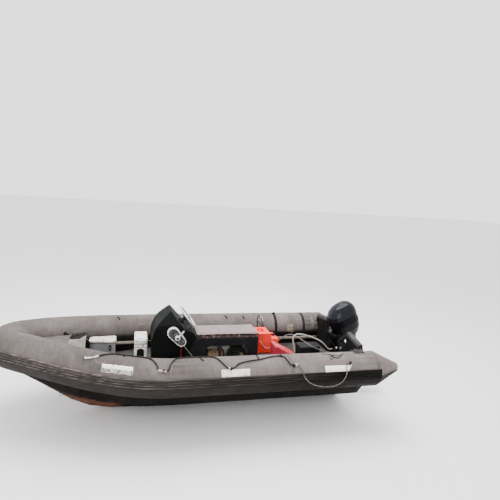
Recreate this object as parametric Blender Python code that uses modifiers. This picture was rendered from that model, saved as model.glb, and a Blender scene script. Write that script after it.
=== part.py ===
# Rigid inflatable workboat with a jockey console and a tilted outboard motor.
# Metres, +Z up, bow towards -X, port side towards -Y.
# The origin is on the flat of the keel, under the middle of the hull.

import bpy
import bmesh
from collections import namedtuple
from math import atan2, cos, pi, radians, sin, sqrt, tau
from mathutils import Matrix, Vector

# Running and seating clearances
seat_gap = 0.0003
pin_gap = 0.0003
running_gap = 0.0012
overrun = 0.02
weld_distance = 0.00005

# How finely curves are stepped
arc_steps = 3
corner_steps = 4
nut_sides = 6
round_sides = 12
pin_sides = 16
kingpin_sides = 24
small_sides = 8
sharp_angle = radians(40)
bevel_angle = radians(40)
flat_angle = radians(1)
corner_limit_share = 0.48
route_samples = 12
cord_spacing_share = 3.0

# Inflated tubes
tube_radius = 0.23
tube_half_spacing = 0.90
tube_axis_height = 0.79
tube_sides = 36
stern_x = 2.30
tube_straight_length = 2.75
bow_reach = 1.99
bow_rise = 0.155
nose_bend_radius = 0.27
nose_bend_angle = radians(60)
bow_leave_share = 0.29
bow_meet_share = 0.30
bow_curve_steps = 7
nose_bend_steps = 3
cone_length = 0.36
cone_tip_radius = 0.075
cone_tip_round = 0.035
cone_round_share = 0.85
cone_end_share = 0.45

# Rubbing strake round the outside of the tubes
strake_low_step = -1
strake_high_step = 2
strake_base = 0.007
strake_rib_height = 0.009
strake_ribs = 4
rib_rise_share = 0.22
rib_fall_share = 0.72

# Rigid hull
keel_pad_half_width = 0.07
keel_straight_end_x = -1.10
stem_pull_length = 0.50
stem_foot_drop = 0.45
stem_foot_back = 0.53
stem_lift_share = 1.0
chine_lateral_share = 0.77
chine_height_share = 0.59
chine_flat_width = 0.035
rail_shares = (0.36, 0.68)
rail_width = 0.030
rail_return_share = 0.9
flange_low_step = 26
flange_high_step = 21
flange_thickness = 0.010
inwale_width = 0.034
hull_mid_x = 0.90

# Deck
deck_height = 0.57
deck_thickness = 0.012
deck_point_half_width = 0.02

# Transom
transom_gap_to_cone = 0.075
transom_thickness = 0.055
transom_high_step = 13
transom_inner_top = 1.10
transom_outer_top = 1.04
transom_outer_half_width = 0.715
motor_well_half_width = 0.30
motor_well_top_half_width = 0.36
motor_well_rise = 0.14
motor_well_height = deck_height + motor_well_rise
motor_well_round = 0.05
cap_wall = 0.006
cap_depth = 0.040
cap_crown = 0.012
cap_crown_share = 0.5

# Bow fittings
bow_eye_share = 0.72
bow_eye_rod_radius = 0.006
bow_eye_width = 0.044
bow_eye_reach = 0.050
bow_eye_plate_width = 0.030
bow_eye_plate_length = 0.100
bow_eye_plate_thickness = 0.006
dodger_step = 17
dodger_reach = 1.07
dodger_least_half_width = 0.03
dodger_full_half_width = 0.30
dodger_crown = 0.030
dodger_thickness = 0.008
dodger_shares = (1.0, 0.5, 0.0, -0.5, -1.0)
locker_step_gap = 0.255
locker_length = 0.33
locker_width = 0.20
locker_centre_y = 0.10
locker_front_width = 0.14
locker_height = 0.37
locker_wall = 0.008
locker_corner = 0.030
locker_lid_thickness = 0.018
locker_lid_overlap = 0.015
locker_lid_round = 0.006
locker_knuckle_radius = 0.008
locker_knuckle_length = 0.040
locker_leaf_thickness = 0.004
hinge_pin_radius = 0.004

# White moulded step ahead of the console
step_front_x = -0.87
step_length = 0.17
step_width = 0.34
step_height = 0.44
step_waist_height = 0.35
step_waist_inset = 0.012
step_arch_half_width = 0.045
step_arch_height = 0.20
step_corner = 0.020

# Console
console_half_width = 0.27
console_top_half_width = 0.17
console_taper_start = 1.235
console_foot_front_x = -0.63
console_shoulder = (-0.655, 1.06)
console_brow = (-0.575, 1.25)
console_peak = (-0.40, 1.405)
dash_foot = (-0.21, 1.165)
knee_top = (-0.125, 1.150)
knee_out = (-0.060, 1.085)
knee_low = (-0.075, 1.015)
console_waist = (-0.165, 0.885)
console_foot_back_x = -0.215
console_edge_round = 0.014
console_brow_round = 0.12
console_shoulder_round = 0.16
console_knee_round = 0.030
console_waist_round = 0.06

# Steering
wheel_radius = 0.170
wheel_grip_radius = 0.0135
wheel_standoff = 0.112
wheel_drop = 0.250
wheel_hub_radius = 0.042
wheel_hub_length = 0.032
wheel_grip_sides = 8
wheel_rim_sides = 24
wheel_rest_turn = radians(90)
wheel_spoke_count = 3
wheel_spoke_width = 0.030
wheel_spoke_thickness = 0.007
hub_round_share = 0.25
spoke_knee_share = 0.45
spoke_sink_share = 0.9
helm_radius = 0.045
helm_round = 0.006
helm_depth = 0.030
helm_nose_radius = 0.024
helm_nose_length = 0.034
helm_shaft_radius = 0.009

# Throttle control on the port side of the console
throttle_centre_x = -0.315
throttle_centre_z = 1.078
throttle_long_half = 0.085
throttle_round_radius = 0.078
throttle_lean = radians(-48)
throttle_depth = 0.055
throttle_flange_depth = 0.010
throttle_flange_inset = 0.012
throttle_hub_radius = 0.034
throttle_hub_depth = 0.036
throttle_foot_share = 0.80
throttle_edge_round = 0.006
throttle_shaft_radius = 0.010
throttle_shaft_length = 0.030
hub_crown_share = 0.75
lever_length = 0.175
lever_width = 0.022
lever_thickness = 0.012
lever_angle = radians(39)
lever_round_share = 0.25
lever_spigot_radius = 0.006
socket_sides = 20
socket_turn = radians(7)
spigot_share = 0.6
grip_radius = 0.019
grip_length = 0.080
grip_round_share = 0.35
grip_waist_share = 0.88
button_width = 0.012
button_length = 0.024
button_depth = 0.007
button_proud = 0.003
button_travel = 0.002
button_place_share = 0.72
button_round_share = 0.1
key_offset = 0.085
key_shaft_radius = 0.004
key_shaft_length = 0.018
key_head_width = 0.026
key_head_height = 0.024
key_head_thickness = 0.003
kill_switch_radius = 0.010
kill_switch_length = 0.020

# Jockey seat
seat_front_x = -0.05
seat_length = 0.92
seat_half_width = 0.205
seat_height = 0.52
seat_top_height = deck_height + seat_height
cushion_thickness = 0.072
cushion_crown = 0.012
cushion_draw = 0.010
cushion_overhang = 0.010
cushion_corner = 0.035
cushion_round = 0.016
cushion_end_share = 0.5
cushion_edge_length = 0.12
cushion_crown_steps = 4
cushion_side_shares = ((0.0, 0.5), (0.15, 0.0), (0.5, 0.0), (0.85, 0.0), (0.97, 0.35), (1.0, 1.0))
seat_base_half_width = 0.19
seat_nose_x = -0.145
seat_nose_rise = 0.31
seat_nose_height = deck_height + seat_nose_rise
seat_base_front_x = -0.035
seat_arch_front_inset = 0.15
seat_arch_back_inset = 0.105
seat_arch_front_x = seat_front_x + seat_arch_front_inset
seat_arch_back_x = seat_front_x + seat_length - cushion_overhang - seat_arch_back_inset
seat_arch_length = seat_arch_back_x - seat_arch_front_x
seat_arch_rise = 0.055
seat_arch_height = 0.27
seat_arch_floor = deck_height + seat_arch_rise
seat_arch_top = seat_arch_floor + seat_arch_height
seat_arch_round = 0.075
seat_edge_round = 0.012

# Loads stowed under the seat
canvas_place_share = 0.26
canvas_length_share = 0.412
canvas_centre_x = seat_arch_front_x + seat_arch_length * canvas_place_share
canvas_length = seat_arch_length * canvas_length_share
canvas_radius = 0.085
net_place_share = 0.733
net_length_share = 0.397
net_centre_x = seat_arch_front_x + seat_arch_length * net_place_share
net_length = seat_arch_length * net_length_share
net_radius = 0.105
bundle_sides = 12
bundle_width_share = 1.5
canvas_flat_share = 0.85
net_flat_share = 0.95
canvas_swell_shares = (
    (0.0, 0.30),
    (0.06, 0.72),
    (0.25, 0.95),
    (0.45, 0.85),
    (0.62, 0.98),
    (0.80, 0.80),
    (0.95, 0.60),
    (1.0, 0.25),
)
net_swell_shares = (
    (0.0, 0.25),
    (0.08, 0.65),
    (0.28, 0.92),
    (0.50, 1.0),
    (0.72, 0.90),
    (0.92, 0.62),
    (1.0, 0.25),
)

# Fuel tanks
tank_back_x = 1.335
tank_length = 0.42
tank_near_y = 0.27
tank_width = 0.30
tank_shoulder_height = 0.235
tank_height = 0.325
tank_shoulder_length = 0.118
fuel_neck_inset = 0.050
tank_round = 0.022
tank_edge_round = 0.012
tank_pocket_length = 0.10
handle_bar_share = 0.6
tank_handle_width = 0.034
tank_handle_length = 0.15
tank_handle_depth = 0.058
fuel_barb_radius = 0.008
fuel_barb_length = 0.012
fuel_barb_height = 0.1497
fuel_cap_radius = 0.034
fuel_cap_height = 0.024
fuel_cap_lobes = 12
fuel_cap_lobe_depth = 0.002
cap_crown_radius_share = 0.85
fuel_neck_radius = 0.024
fuel_neck_height = 0.010
wedge_front_x = 1.145
wedge_length = 0.36
wedge_centre_y = -0.02
wedge_width = 0.26
wedge_high = 0.265
wedge_low = 0.095
wedge_round = 0.016

# Battery box
battery_front_x = 1.58
battery_length = 0.33
battery_width = 0.22
battery_centre_y = 0.06
battery_height = 0.19
battery_wall = 0.004
battery_lid_height = 0.055
battery_lid_wall = 0.004
battery_lid_rise = 0.012
battery_corner = 0.028

# Straps round the far tube
strap_width = 0.045
strap_thickness = 0.004
strap_low_step = 20
strap_high_step = 8
strap_middle_x = 1.42
strap_aft_x = 1.92

# Outboard motor: places are measured from the tilt pin, aft and up the leg
tilt_pin_rise = 0.07
tilt_pin_height = motor_well_height + tilt_pin_rise
tilt_pin_inset = 0.025
tilt_rest = radians(26)
tilt_pin_radius = 0.0125
tilt_pin_half_length = 0.165
tilt_nut_radius = 0.021
tilt_nut_thickness = 0.014
clamp_plate_inner = 0.105
clamp_plate_thickness = 0.020
clamp_crown = 0.042
clamp_jaw_reach = 0.026
clamp_jaw_drop = 0.130
clamp_tail_drop = 0.300
clamp_tail_width = 0.030
clamp_web_thickness = 0.010
clamp_web_setback = 0.003
clamp_shoulder = 0.012
clamp_web_top = 0.090
clamp_web_bottom = 0.240
clamp_edge_round = 0.003
swivel_half_width = 0.1038
swivel_hub_radius = 0.029
kingpin_aft = 0.115
kingpin_radius = 0.018
swivel_tube_radius = 0.034
swivel_top = 0.030
swivel_bottom = 0.300
neck_rise_share = 0.7
neck_fall_share = 0.35
yoke_thickness = 0.026
yoke_half_width = 0.050
steer_arm_reach = 0.150
steer_arm_width = 0.036
steer_arm_thickness = 0.014

# Leg: aft offsets are measured from the kingpin
leg_top_aft = 0.165
leg_waist_aft = 0.135
leg_foot_aft = 0.130
leg_split = -0.560
leg_top_half_length = 0.113
leg_top_half_width = 0.088
leg_waist_half_length = 0.078
leg_waist_half_width = 0.040
leg_foot_half_length = 0.082
leg_foot_half_width = 0.026
leg_waist_height = -0.20
leg_knee_height = -0.44
leg_neck_height = -0.04
leg_neck_aft = 0.145
leg_neck_half_length = 0.088
leg_neck_half_width = 0.056
leg_collar_height = 0.055
leg_sides = 12
leg_tail_share = 0.35
foil_sides = 8
drive_bore_radius = 0.013
drive_shaft_radius = 0.010
plate_height = -0.620
plate_thickness = 0.009
plate_length = 0.320
plate_half_width = 0.085
plate_front_aft = -0.015
plate_nose_share = 0.35
strut_length_share = 0.92
strut_width_share = 0.80
propeller_axis_drop = -0.775
torpedo_tail_aft = 0.262
torpedo_radius = 0.044
torpedo_nose_length = 0.120
torpedo_body_length = 0.150
torpedo_tail_share = 0.80
torpedo_nose_share = 0.9
torpedo_nose_steps = 5
skeg_bottom = -0.925
skeg_top_chord = 0.150
skeg_foot_chord = 0.060
skeg_rake = 0.070
skeg_half_thickness = 0.006
skeg_foot_share = 0.4
drive_shaft_foot = -0.72
propeller_radius = 0.130
propeller_hub_radius = 0.036
propeller_hub_length = 0.095
propeller_pitch = 0.330
propeller_blades = 3
blade_chord = 0.125
blade_sides = 8
blade_rake = 0.020
blade_foot_share = 0.82
blade_shares = (
    (-0.20, 0.60, 0.0),
    (0.10, 0.72, 0.1),
    (0.40, 0.96, 0.35),
    (0.66, 1.0, 0.6),
    (0.86, 0.82, 0.85),
    (0.97, 0.46, 1.0),
    (1.0, 0.14, 1.0),
)
blade_root_thickness = 0.009
blade_tip_thickness = 0.002
propeller_shaft_radius = 0.010
propeller_shaft_length = 0.080
propeller_nut_radius = 0.014
propeller_nut_length = 0.020
nut_crown_share = 0.7
hub_tail_share = 0.82

# Motor covers: aft offsets are measured from the kingpin
cowl_wall = 0.004
cowl_sides = 24
tray_bottom = 0.085
tray_top = 0.185
tray_half_length = 0.212
tray_foot_half_length = 0.165
tray_half_width = 0.162
tray_foot_half_width = 0.115
cowl_centre_aft = 0.130
cowl_half_length = 0.232
cowl_half_width = 0.186
cowl_belly_height = 0.300
cowl_seam_height = 0.415
cowl_shelf = 0.016
cowl_seam_half_length = 0.225
cowl_seam_half_width = 0.178
cowl_squareness = 2.6
hood_half_length = 0.234
hood_half_width = 0.190
hood_height = 0.610
hood_back_shift = 0.040
hood_shares = (
    (0.0, 1.0, 1.0, 0.0),
    (0.28, 0.96, 0.95, 0.2),
    (0.58, 0.84, 0.82, 0.55),
    (0.82, 0.62, 0.62, 0.9),
    (0.95, 0.38, 0.38, 1.1),
    (1.0, 0.16, 0.16, 1.2),
)
seam_recess = 0.006
powerhead_length = 0.200
powerhead_width = 0.136
powerhead_top = 0.370
powerhead_round = 0.012
powerhead_foot = 0.018
powerhead_foot_radius = 0.055
cylinder_bank_width = 0.120
cylinder_bank_length = 0.060
flywheel_radius = 0.095
flywheel_thickness = 0.022
flywheel_holes = 5
flywheel_hole_radius = 0.014
flywheel_hole_place_share = 0.62

# Rope, hose and cable sizes
lifeline_radius = 0.008
lifeline_lift = 0.0045
lifeline_spacing = 0.042
slack_line_radius = 0.007
fuel_hose_radius = 0.006
rigging_hose_radius = 0.010
control_cable_radius = 0.005
kill_cord_radius = 0.0035
anchor_step = 4
anchor_gap = 0.0006
anchor_play = 0.002
anchor_width = 0.046
anchor_thickness = 0.003
anchor_wall = 0.004
anchor_length = 0.030
anchor_places = (-0.527, 0.265, 1.072, 1.858)

# Cord routes. The lifeline's are places along the boat with the angle up the port tube.
lifeline_spots = (
    (-1.400, radians(55)),
    (-1.310, radians(64)),
    (-1.220, radians(82)),
    (-1.120, radians(97)),
    (-0.960, radians(103)),
    (-0.800, radians(102)),
    (-0.690, radians(92)),
    (-0.610, radians(66)),
    (-0.580, radians(47.5)),
    (-0.555, radians(45)),
    (-0.527, radians(45)),
    (-0.500, radians(45)),
    (-0.475, radians(48)),
    (-0.440, radians(70)),
    (-0.360, radians(94)),
    (-0.200, radians(101)),
    (-0.040, radians(100)),
    (0.080, radians(92)),
    (0.170, radians(62)),
    (0.215, radians(47.5)),
    (0.240, radians(45)),
    (0.265, radians(45)),
    (0.290, radians(45)),
    (0.315, radians(47.5)),
    (0.370, radians(58)),
    (0.500, radians(66)),
    (0.650, radians(71)),
    (0.840, radians(83)),
    (0.960, radians(82)),
    (1.005, radians(60)),
    (1.028, radians(47.5)),
    (1.050, radians(45)),
    (1.072, radians(45)),
    (1.100, radians(45)),
)
slack_route = (
    (1.1026, -1.0715, 0.9615),
    (1.1300, -1.0715, 0.9615),
    (1.157, -1.100, 0.938),
    (1.178, -1.146, 0.873),
    (1.212, -1.164, 0.812),
    (1.278, -1.163, 0.755),
    (1.360, -1.162, 0.718),
    (1.450, -1.161, 0.697),
    (1.540, -1.161, 0.690),
    (1.630, -1.161, 0.703),
    (1.706, -1.162, 0.740),
    (1.744, -1.164, 0.790),
    (1.770, -1.158, 0.848),
    (1.782, -1.128, 0.908),
    (1.794, -1.088, 0.950),
    (1.816, -1.0715, 0.9615),
    (1.858, -1.0715, 0.9615),
    (1.885, -1.0715, 0.9615),
)
cable_route = (
    (-0.2265, -0.2978, 0.9619),
    (-0.2163, -0.2978, 0.9447),
    (-0.1750, -0.2990, 0.8930),
    (-0.1150, -0.3020, 0.8200),
    (-0.0600, -0.3060, 0.7400),
    (-0.0200, -0.3080, 0.6600),
    (0.0150, -0.3060, 0.6040),
    (0.0700, -0.2980, 0.5800),
    (0.1400, -0.2850, 0.5757),
    (0.2200, -0.2700, 0.5757),
    (0.2850, -0.2450, 0.5757),
    (0.3000, -0.2150, 0.5765),
    (0.3000, -0.1905, 0.5765),
)
kill_cord_route = (
    (-0.2580, -0.2928, 0.9423),
    (-0.2580, -0.2928, 0.9200),
    (-0.2575, -0.2935, 0.8600),
    (-0.2570, -0.2960, 0.7800),
    (-0.2560, -0.3000, 0.7000),
    (-0.2530, -0.3050, 0.6300),
    (-0.2450, -0.3130, 0.5900),
    (-0.2250, -0.3250, 0.5750),
    (-0.1900, -0.3400, 0.5740),
    (-0.1450, -0.3500, 0.5740),
)
fuel_hose_route = (
    (1.3475, 0.4200, 0.7200),
    (1.3880, 0.4200, 0.7200),
    (1.4300, 0.3850, 0.7650),
    (1.4550, 0.3000, 0.8400),
    (1.5050, 0.1900, 0.8950),
    (1.5650, 0.0800, 0.8930),
    (1.6450, -0.0200, 0.8550),
    (1.7300, -0.0850, 0.8080),
    (1.8200, -0.1000, 0.7660),
    (1.9300, -0.0980, 0.7280),
    (2.0400, -0.0900, 0.6980),
    (2.1200, -0.0850, 0.6830),
    (2.1692, -0.0850, 0.6830),
)
rigging_hose_route = (
    (1.5350, 0.0500, 0.5704),
    (1.5350, 0.0500, 0.6200),
    (1.5150, 0.0480, 0.7400),
    (1.4850, 0.0450, 0.8500),
    (1.4950, 0.0440, 0.9250),
    (1.5550, 0.0450, 0.9520),
    (1.6600, 0.0500, 0.9350),
    (1.8000, 0.0560, 0.8900),
    (1.9300, 0.0600, 0.8330),
    (2.0150, 0.0600, 0.7720),
    (2.0700, 0.0600, 0.7150),
    (2.1000, 0.0600, 0.6870),
    (2.1690, 0.0600, 0.6870),
)


def collection(name):
    group = bpy.data.collections.new(name)
    bpy.context.scene.collection.children.link(group)
    return group


def clear_scene():
    for item in list(bpy.data.objects):
        bpy.data.objects.remove(item, do_unlink=True)
    for group in list(bpy.data.collections):
        bpy.data.collections.remove(group)


clear_scene()
boat = collection("rigid_inflatable_boat")
tools = collection("cutters")


# Materials
def material(name, colour, roughness, metallic=0.0):
    made = bpy.data.materials.new(name)
    made.use_nodes = True
    shader = made.node_tree.nodes["Principled BSDF"]
    shader.inputs["Base Color"].default_value = (*colour, 1.0)
    shader.inputs["Roughness"].default_value = roughness
    shader.inputs["Metallic"].default_value = metallic
    made.diffuse_color = (*colour, 1.0)
    return made


tube_fabric = material("tube_fabric", (0.30, 0.27, 0.26), 0.85)
strake_rubber = material("strake_rubber", (0.06, 0.055, 0.055), 0.8)
hull_paint = material("hull_paint", (0.09, 0.085, 0.085), 0.55)
deck_paint = material("deck_paint", (0.33, 0.31, 0.29), 0.75)
transom_paint = material("transom_paint", (0.04, 0.04, 0.042), 0.6)
grey_trim = material("grey_trim", (0.42, 0.40, 0.38), 0.7)
galvanised = material("galvanised_steel", (0.55, 0.55, 0.56), 0.45, 1.0)
white_plastic = material("white_plastic", (0.80, 0.80, 0.78), 0.5)
console_gloss = material("console_gloss", (0.012, 0.013, 0.015), 0.22)
black_plastic = material("black_plastic", (0.02, 0.02, 0.022), 0.5)
cushion_vinyl = material("cushion_vinyl", (0.50, 0.46, 0.48), 0.6)
canvas = material("canvas", (0.42, 0.27, 0.15), 0.9)
netting = material("netting", (0.05, 0.06, 0.05), 0.95)
red_plastic = material("red_plastic", (0.75, 0.03, 0.02), 0.4)
faded_red = material("faded_red_plastic", (0.78, 0.07, 0.09), 0.5)
motor_black = material("motor_black", (0.010, 0.011, 0.014), 0.25)
motor_navy = material("motor_navy", (0.018, 0.020, 0.040), 0.22)
motor_metal = material("motor_metal", (0.35, 0.35, 0.36), 0.5, 0.8)
rope_black = material("rope_black", (0.02, 0.02, 0.02), 0.9)
rope_grey = material("rope_grey", (0.35, 0.34, 0.32), 0.9)
rope_red = material("rope_red", (0.28, 0.02, 0.03), 0.8)
webbing = material("black_webbing", (0.02, 0.02, 0.02), 0.9)


# Mesh helpers
def as_mesh(name, bm):
    bmesh.ops.recalc_face_normals(bm, faces=bm.faces)
    mesh = bpy.data.meshes.new(name)
    bm.to_mesh(mesh)
    bm.free()
    return mesh


def piece(name, mesh, mat, parent=None):
    item = bpy.data.objects.new(name, mesh)
    mesh.materials.clear()
    mesh.materials.append(mat)
    mesh.shade_smooth()
    mesh.set_sharp_from_angle(angle=sharp_angle)
    boat.objects.link(item)
    item.parent = parent
    return item


def evaluated_mesh(item):
    """The mesh that the viewport shows for an object, which is then removed."""
    graph = bpy.context.evaluated_depsgraph_get()
    mesh = bpy.data.meshes.new_from_object(item.evaluated_get(graph))
    bpy.data.objects.remove(item, do_unlink=True)
    bm = bmesh.new()
    bm.from_mesh(mesh)
    bmesh.ops.remove_doubles(bm, verts=bm.verts, dist=weld_distance)
    bm.to_mesh(mesh)
    bm.free()
    return mesh


def loft(name, rings, capped=True):
    """Closed rings of equal count, skinned in order."""
    bm = bmesh.new()
    rows = [[bm.verts.new(place) for place in ring] for ring in rings]
    for low, high in zip(rows, rows[1:]):
        for k, vert in enumerate(low):
            after = (k + 1) % len(low)
            bm.faces.new((vert, low[after], high[after], high[k]))
    if capped:
        bm.faces.new(rows[0])
        bm.faces.new(rows[-1])
    else:
        first, last = rows[0], rows[-1]
        for k, vert in enumerate(last):
            after = (k + 1) % len(last)
            bm.faces.new((vert, last[after], first[after], first[k]))
    bmesh.ops.remove_doubles(bm, verts=bm.verts, dist=weld_distance)
    return as_mesh(name, bm)


def outline_mesh(name, outline, thickness, holes=()):
    """A flat outline in XY, filled and given a thickness about its plane."""
    curve = bpy.data.curves.new(name, "CURVE")
    curve.dimensions = "2D"
    curve.fill_mode = "BOTH"
    curve.extrude = thickness / 2
    for ring in (outline, *holes):
        spline = curve.splines.new("POLY")
        spline.points.add(len(ring) - 1)
        for point, (x, y) in zip(spline.points, ring):
            point.co = (x, y, 0, 1)
        spline.use_cyclic_u = True
    item = bpy.data.objects.new(name, curve)
    bpy.context.scene.collection.objects.link(item)
    return evaluated_mesh(item)


side_view = Matrix.Rotation(pi / 2, 4, "X")
end_view = Matrix(((0, 0, 1, 0), (1, 0, 0, 0), (0, 1, 0, 0), (0, 0, 0, 1)))


def side_slab(name, outline, y_from, y_to, holes=()):
    """An outline in X and Z, given a thickness from one Y to another."""
    mesh = outline_mesh(name, outline, abs(y_to - y_from), holes)
    mesh.transform(Matrix.Translation((0, (y_from + y_to) / 2, 0)) @ side_view)
    return mesh


def end_slab(name, outline, x_from, x_to, holes=()):
    """An outline in Y and Z, given a thickness from one X to another."""
    mesh = outline_mesh(name, outline, abs(x_to - x_from), holes)
    mesh.transform(Matrix.Translation(((x_from + x_to) / 2, 0, 0)) @ end_view)
    return mesh


def flat_slab(name, outline, z_from, z_to, holes=()):
    mesh = outline_mesh(name, outline, abs(z_to - z_from), holes)
    mesh.transform(Matrix.Translation((0, 0, (z_from + z_to) / 2)))
    return mesh


def rounded(corners, radius, steps=arc_steps):
    """The outline with each corner turned into a short curve, limited by its edges."""
    reach = [radius] * len(corners) if not isinstance(radius, (list, tuple)) else radius
    made = []
    for k, corner in enumerate(corners):
        here = Vector(corner)
        before = Vector(corners[k - 1]) - here
        after = Vector(corners[(k + 1) % len(corners)]) - here
        pull = min(reach[k], before.length * corner_limit_share, after.length * corner_limit_share)
        if pull <= 0:
            made.append(tuple(here))
            continue
        start = here + before.normalized() * pull
        end = here + after.normalized() * pull
        for step in range(steps + 1):
            t = step / steps
            place = start * (1 - t) ** 2 + here * (2 * t * (1 - t)) + end * t**2
            made.append(tuple(place))
    return made


def arc(centre, radius, start, end, steps):
    return [
        (
            centre[0] + radius * cos(start + (end - start) * k / steps),
            centre[1] + radius * sin(start + (end - start) * k / steps),
        )
        for k in range(steps + 1)
    ]


def circle(centre, radius, steps):
    return arc(centre, radius, 0, tau * (steps - 1) / steps, steps - 1)


def aimed(origin, direction, roll_up="Y"):
    """A frame whose Z axis runs along the direction."""
    turn = Vector(direction).to_track_quat("Z", roll_up)
    return Matrix.Translation(origin) @ turn.to_matrix().to_4x4()


def drum(name, radius, length, frame=Matrix(), segments=20, far_radius=None):
    """A cylinder or a cone along its frame's Z axis, from the origin."""
    bm = bmesh.new()
    bmesh.ops.create_cone(
        bm,
        cap_ends=True,
        segments=segments,
        radius1=radius,
        radius2=radius if far_radius is None else far_radius,
        depth=length,
    )
    mesh = as_mesh(name, bm)
    mesh.transform(frame @ Matrix.Translation((0, 0, length / 2)))
    return mesh


def turned(name, profile, frame=Matrix(), steps=24, closed=False):
    """A profile of (radius, height) from top to bottom, turned about its frame's Z axis."""
    mesh = bpy.data.meshes.new(name)
    count = len(profile)
    edges = [(k, (k + 1) % count) for k in range(count if closed else count - 1)]
    mesh.from_pydata([(radius, 0, height) for radius, height in profile], edges, [])
    item = bpy.data.objects.new(name, mesh)
    bpy.context.scene.collection.objects.link(item)
    screw = item.modifiers.new("turn", "SCREW")
    screw.angle = tau
    screw.steps = steps
    screw.render_steps = steps
    screw.use_merge_vertices = True
    screw.merge_threshold = weld_distance
    made = evaluated_mesh(item)
    made.transform(frame)
    bm = bmesh.new()
    bm.from_mesh(made)
    return as_mesh(name, bm)


def block(name, low, high):
    bm = bmesh.new()
    bmesh.ops.create_cube(bm, size=1)
    mesh = as_mesh(name, bm)
    size = [b - a for a, b in zip(low, high)]
    centre = [(a + b) / 2 for a, b in zip(low, high)]
    mesh.transform(Matrix.Translation(centre) @ Matrix.Diagonal((*size, 1)))
    return mesh


def rope(name, points, radius, mat, parent=None, resolution=2):
    """A cord along its points, with closed ends."""
    curve = bpy.data.curves.new(name, "CURVE")
    curve.dimensions = "3D"
    curve.bevel_depth = radius
    curve.bevel_resolution = resolution
    curve.use_fill_caps = True
    spline = curve.splines.new("POLY")
    spline.points.add(len(points) - 1)
    for point, place in zip(spline.points, points):
        point.co = (*place, 1)
    curve.materials.append(mat)
    item = bpy.data.objects.new(name, curve)
    boat.objects.link(item)
    item.parent = parent
    return item


def smooth_route(route, spacing):
    """Points at about this spacing on a smooth curve through the route's own points."""
    places = [Vector(place) for place in route]
    padded = [places[0] * 2 - places[1], *places, places[-1] * 2 - places[-2]]
    fine = []
    for k in range(1, len(padded) - 2):
        a, b, c, d = padded[k - 1 : k + 3]
        for step in range(route_samples):
            t = step / route_samples
            fine.append(
                (
                    b * 2
                    + (c - a) * t
                    + (a * 2 - b * 5 + c * 4 - d) * t**2
                    + (b * 3 - a - c * 3 + d) * t**3
                )
                / 2
            )
    fine.append(places[-1])
    run = [0.0]
    for before, after in zip(fine, fine[1:]):
        run.append(run[-1] + (after - before).length)
    count = max(2, round(run[-1] / spacing))
    made = []
    at = 0
    for step in range(count + 1):
        goal = run[-1] * step / count
        while at < len(run) - 2 and run[at + 1] < goal:
            at += 1
        share = (goal - run[at]) / max(run[at + 1] - run[at], weld_distance)
        made.append(fine[at].lerp(fine[at + 1], min(share, 1)))
    return made


def tool(name, mesh, parent=None):
    item = bpy.data.objects.new(name, mesh)
    tools.objects.link(item)
    item.parent = parent
    item.hide_render = True
    item.display_type = "WIRE"
    return item


def boolean(item, mesh, operation):
    count = len(item.modifiers)
    other = tool(f"{item.name}_{operation.lower()}_{count}", mesh, item.parent)
    step = item.modifiers.new(f"{operation.lower()}_{count}", "BOOLEAN")
    step.operation = operation
    step.solver = "EXACT"
    step.object = other
    return item


def cut(item, *meshes):
    for mesh in meshes:
        boolean(item, mesh, "DIFFERENCE")
    return item


def fuse(item, *meshes):
    for mesh in meshes:
        boolean(item, mesh, "UNION")
    return item


def bevel_edges(mesh, width, segments, wanted):
    """Bevels the edges for which the test on their two ends holds."""
    bm = bmesh.new()
    bm.from_mesh(mesh)
    bmesh.ops.dissolve_limit(
        bm, angle_limit=flat_angle, verts=bm.verts, edges=bm.edges
    )
    edges = [edge for edge in bm.edges if wanted(edge)]
    bmesh.ops.bevel(
        bm,
        geom=edges,
        offset=width,
        segments=segments,
        profile=0.5,
        affect="EDGES",
        clamp_overlap=True,
    )
    bm.to_mesh(mesh)
    bm.free()
    return mesh


def sharp(edge):
    return len(edge.link_faces) == 2 and edge.calc_face_angle_signed(0) > bevel_angle


def soften(mesh, width, segments=2):
    return bevel_edges(mesh, width, segments, sharp)


def mirrored(mesh):
    """A copy of a mesh on the other side of the boat."""
    other = mesh.copy()
    other.transform(Matrix.Scale(-1, 4, (0, 1, 0)))
    other.flip_normals()
    return other


def rounded_rectangle(length, width, radius, steps=arc_steps):
    corners = [
        (-length / 2, -width / 2),
        (length / 2, -width / 2),
        (length / 2, width / 2),
        (-length / 2, width / 2),
    ]
    return rounded(corners, radius, steps)


def level(ring, height, centre=(0, 0)):
    return [(x + centre[0], y + centre[1], height) for x, y in ring]


def lobed_ring(half_length, half_width, centre, height, sides, squareness):
    """A rounded section between an ellipse and a rectangle."""
    made = []
    for k in range(sides):
        turn = tau * (k + 0.5) / sides
        x, y = cos(turn), sin(turn)
        reach = (abs(x) ** squareness + abs(y) ** squareness) ** (-1 / squareness)
        made.append((centre + half_length * x * reach, half_width * y * reach, height))
    return made


# Tube path: stations from the stern to the tip of the bow, on the port side
Station = namedtuple("Station", "place outward up stretch share")
port_side = Vector((0, -1, 0))
upwards = Vector((0, 0, 1))


def straight_station(x):
    return Station(Vector((x, -tube_half_spacing, tube_axis_height)), port_side, upwards, 1.0, 0.0)


bow_start_x = stern_x - tube_straight_length
locker_centre_x = step_front_x - locker_step_gap - locker_length / 2


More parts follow.
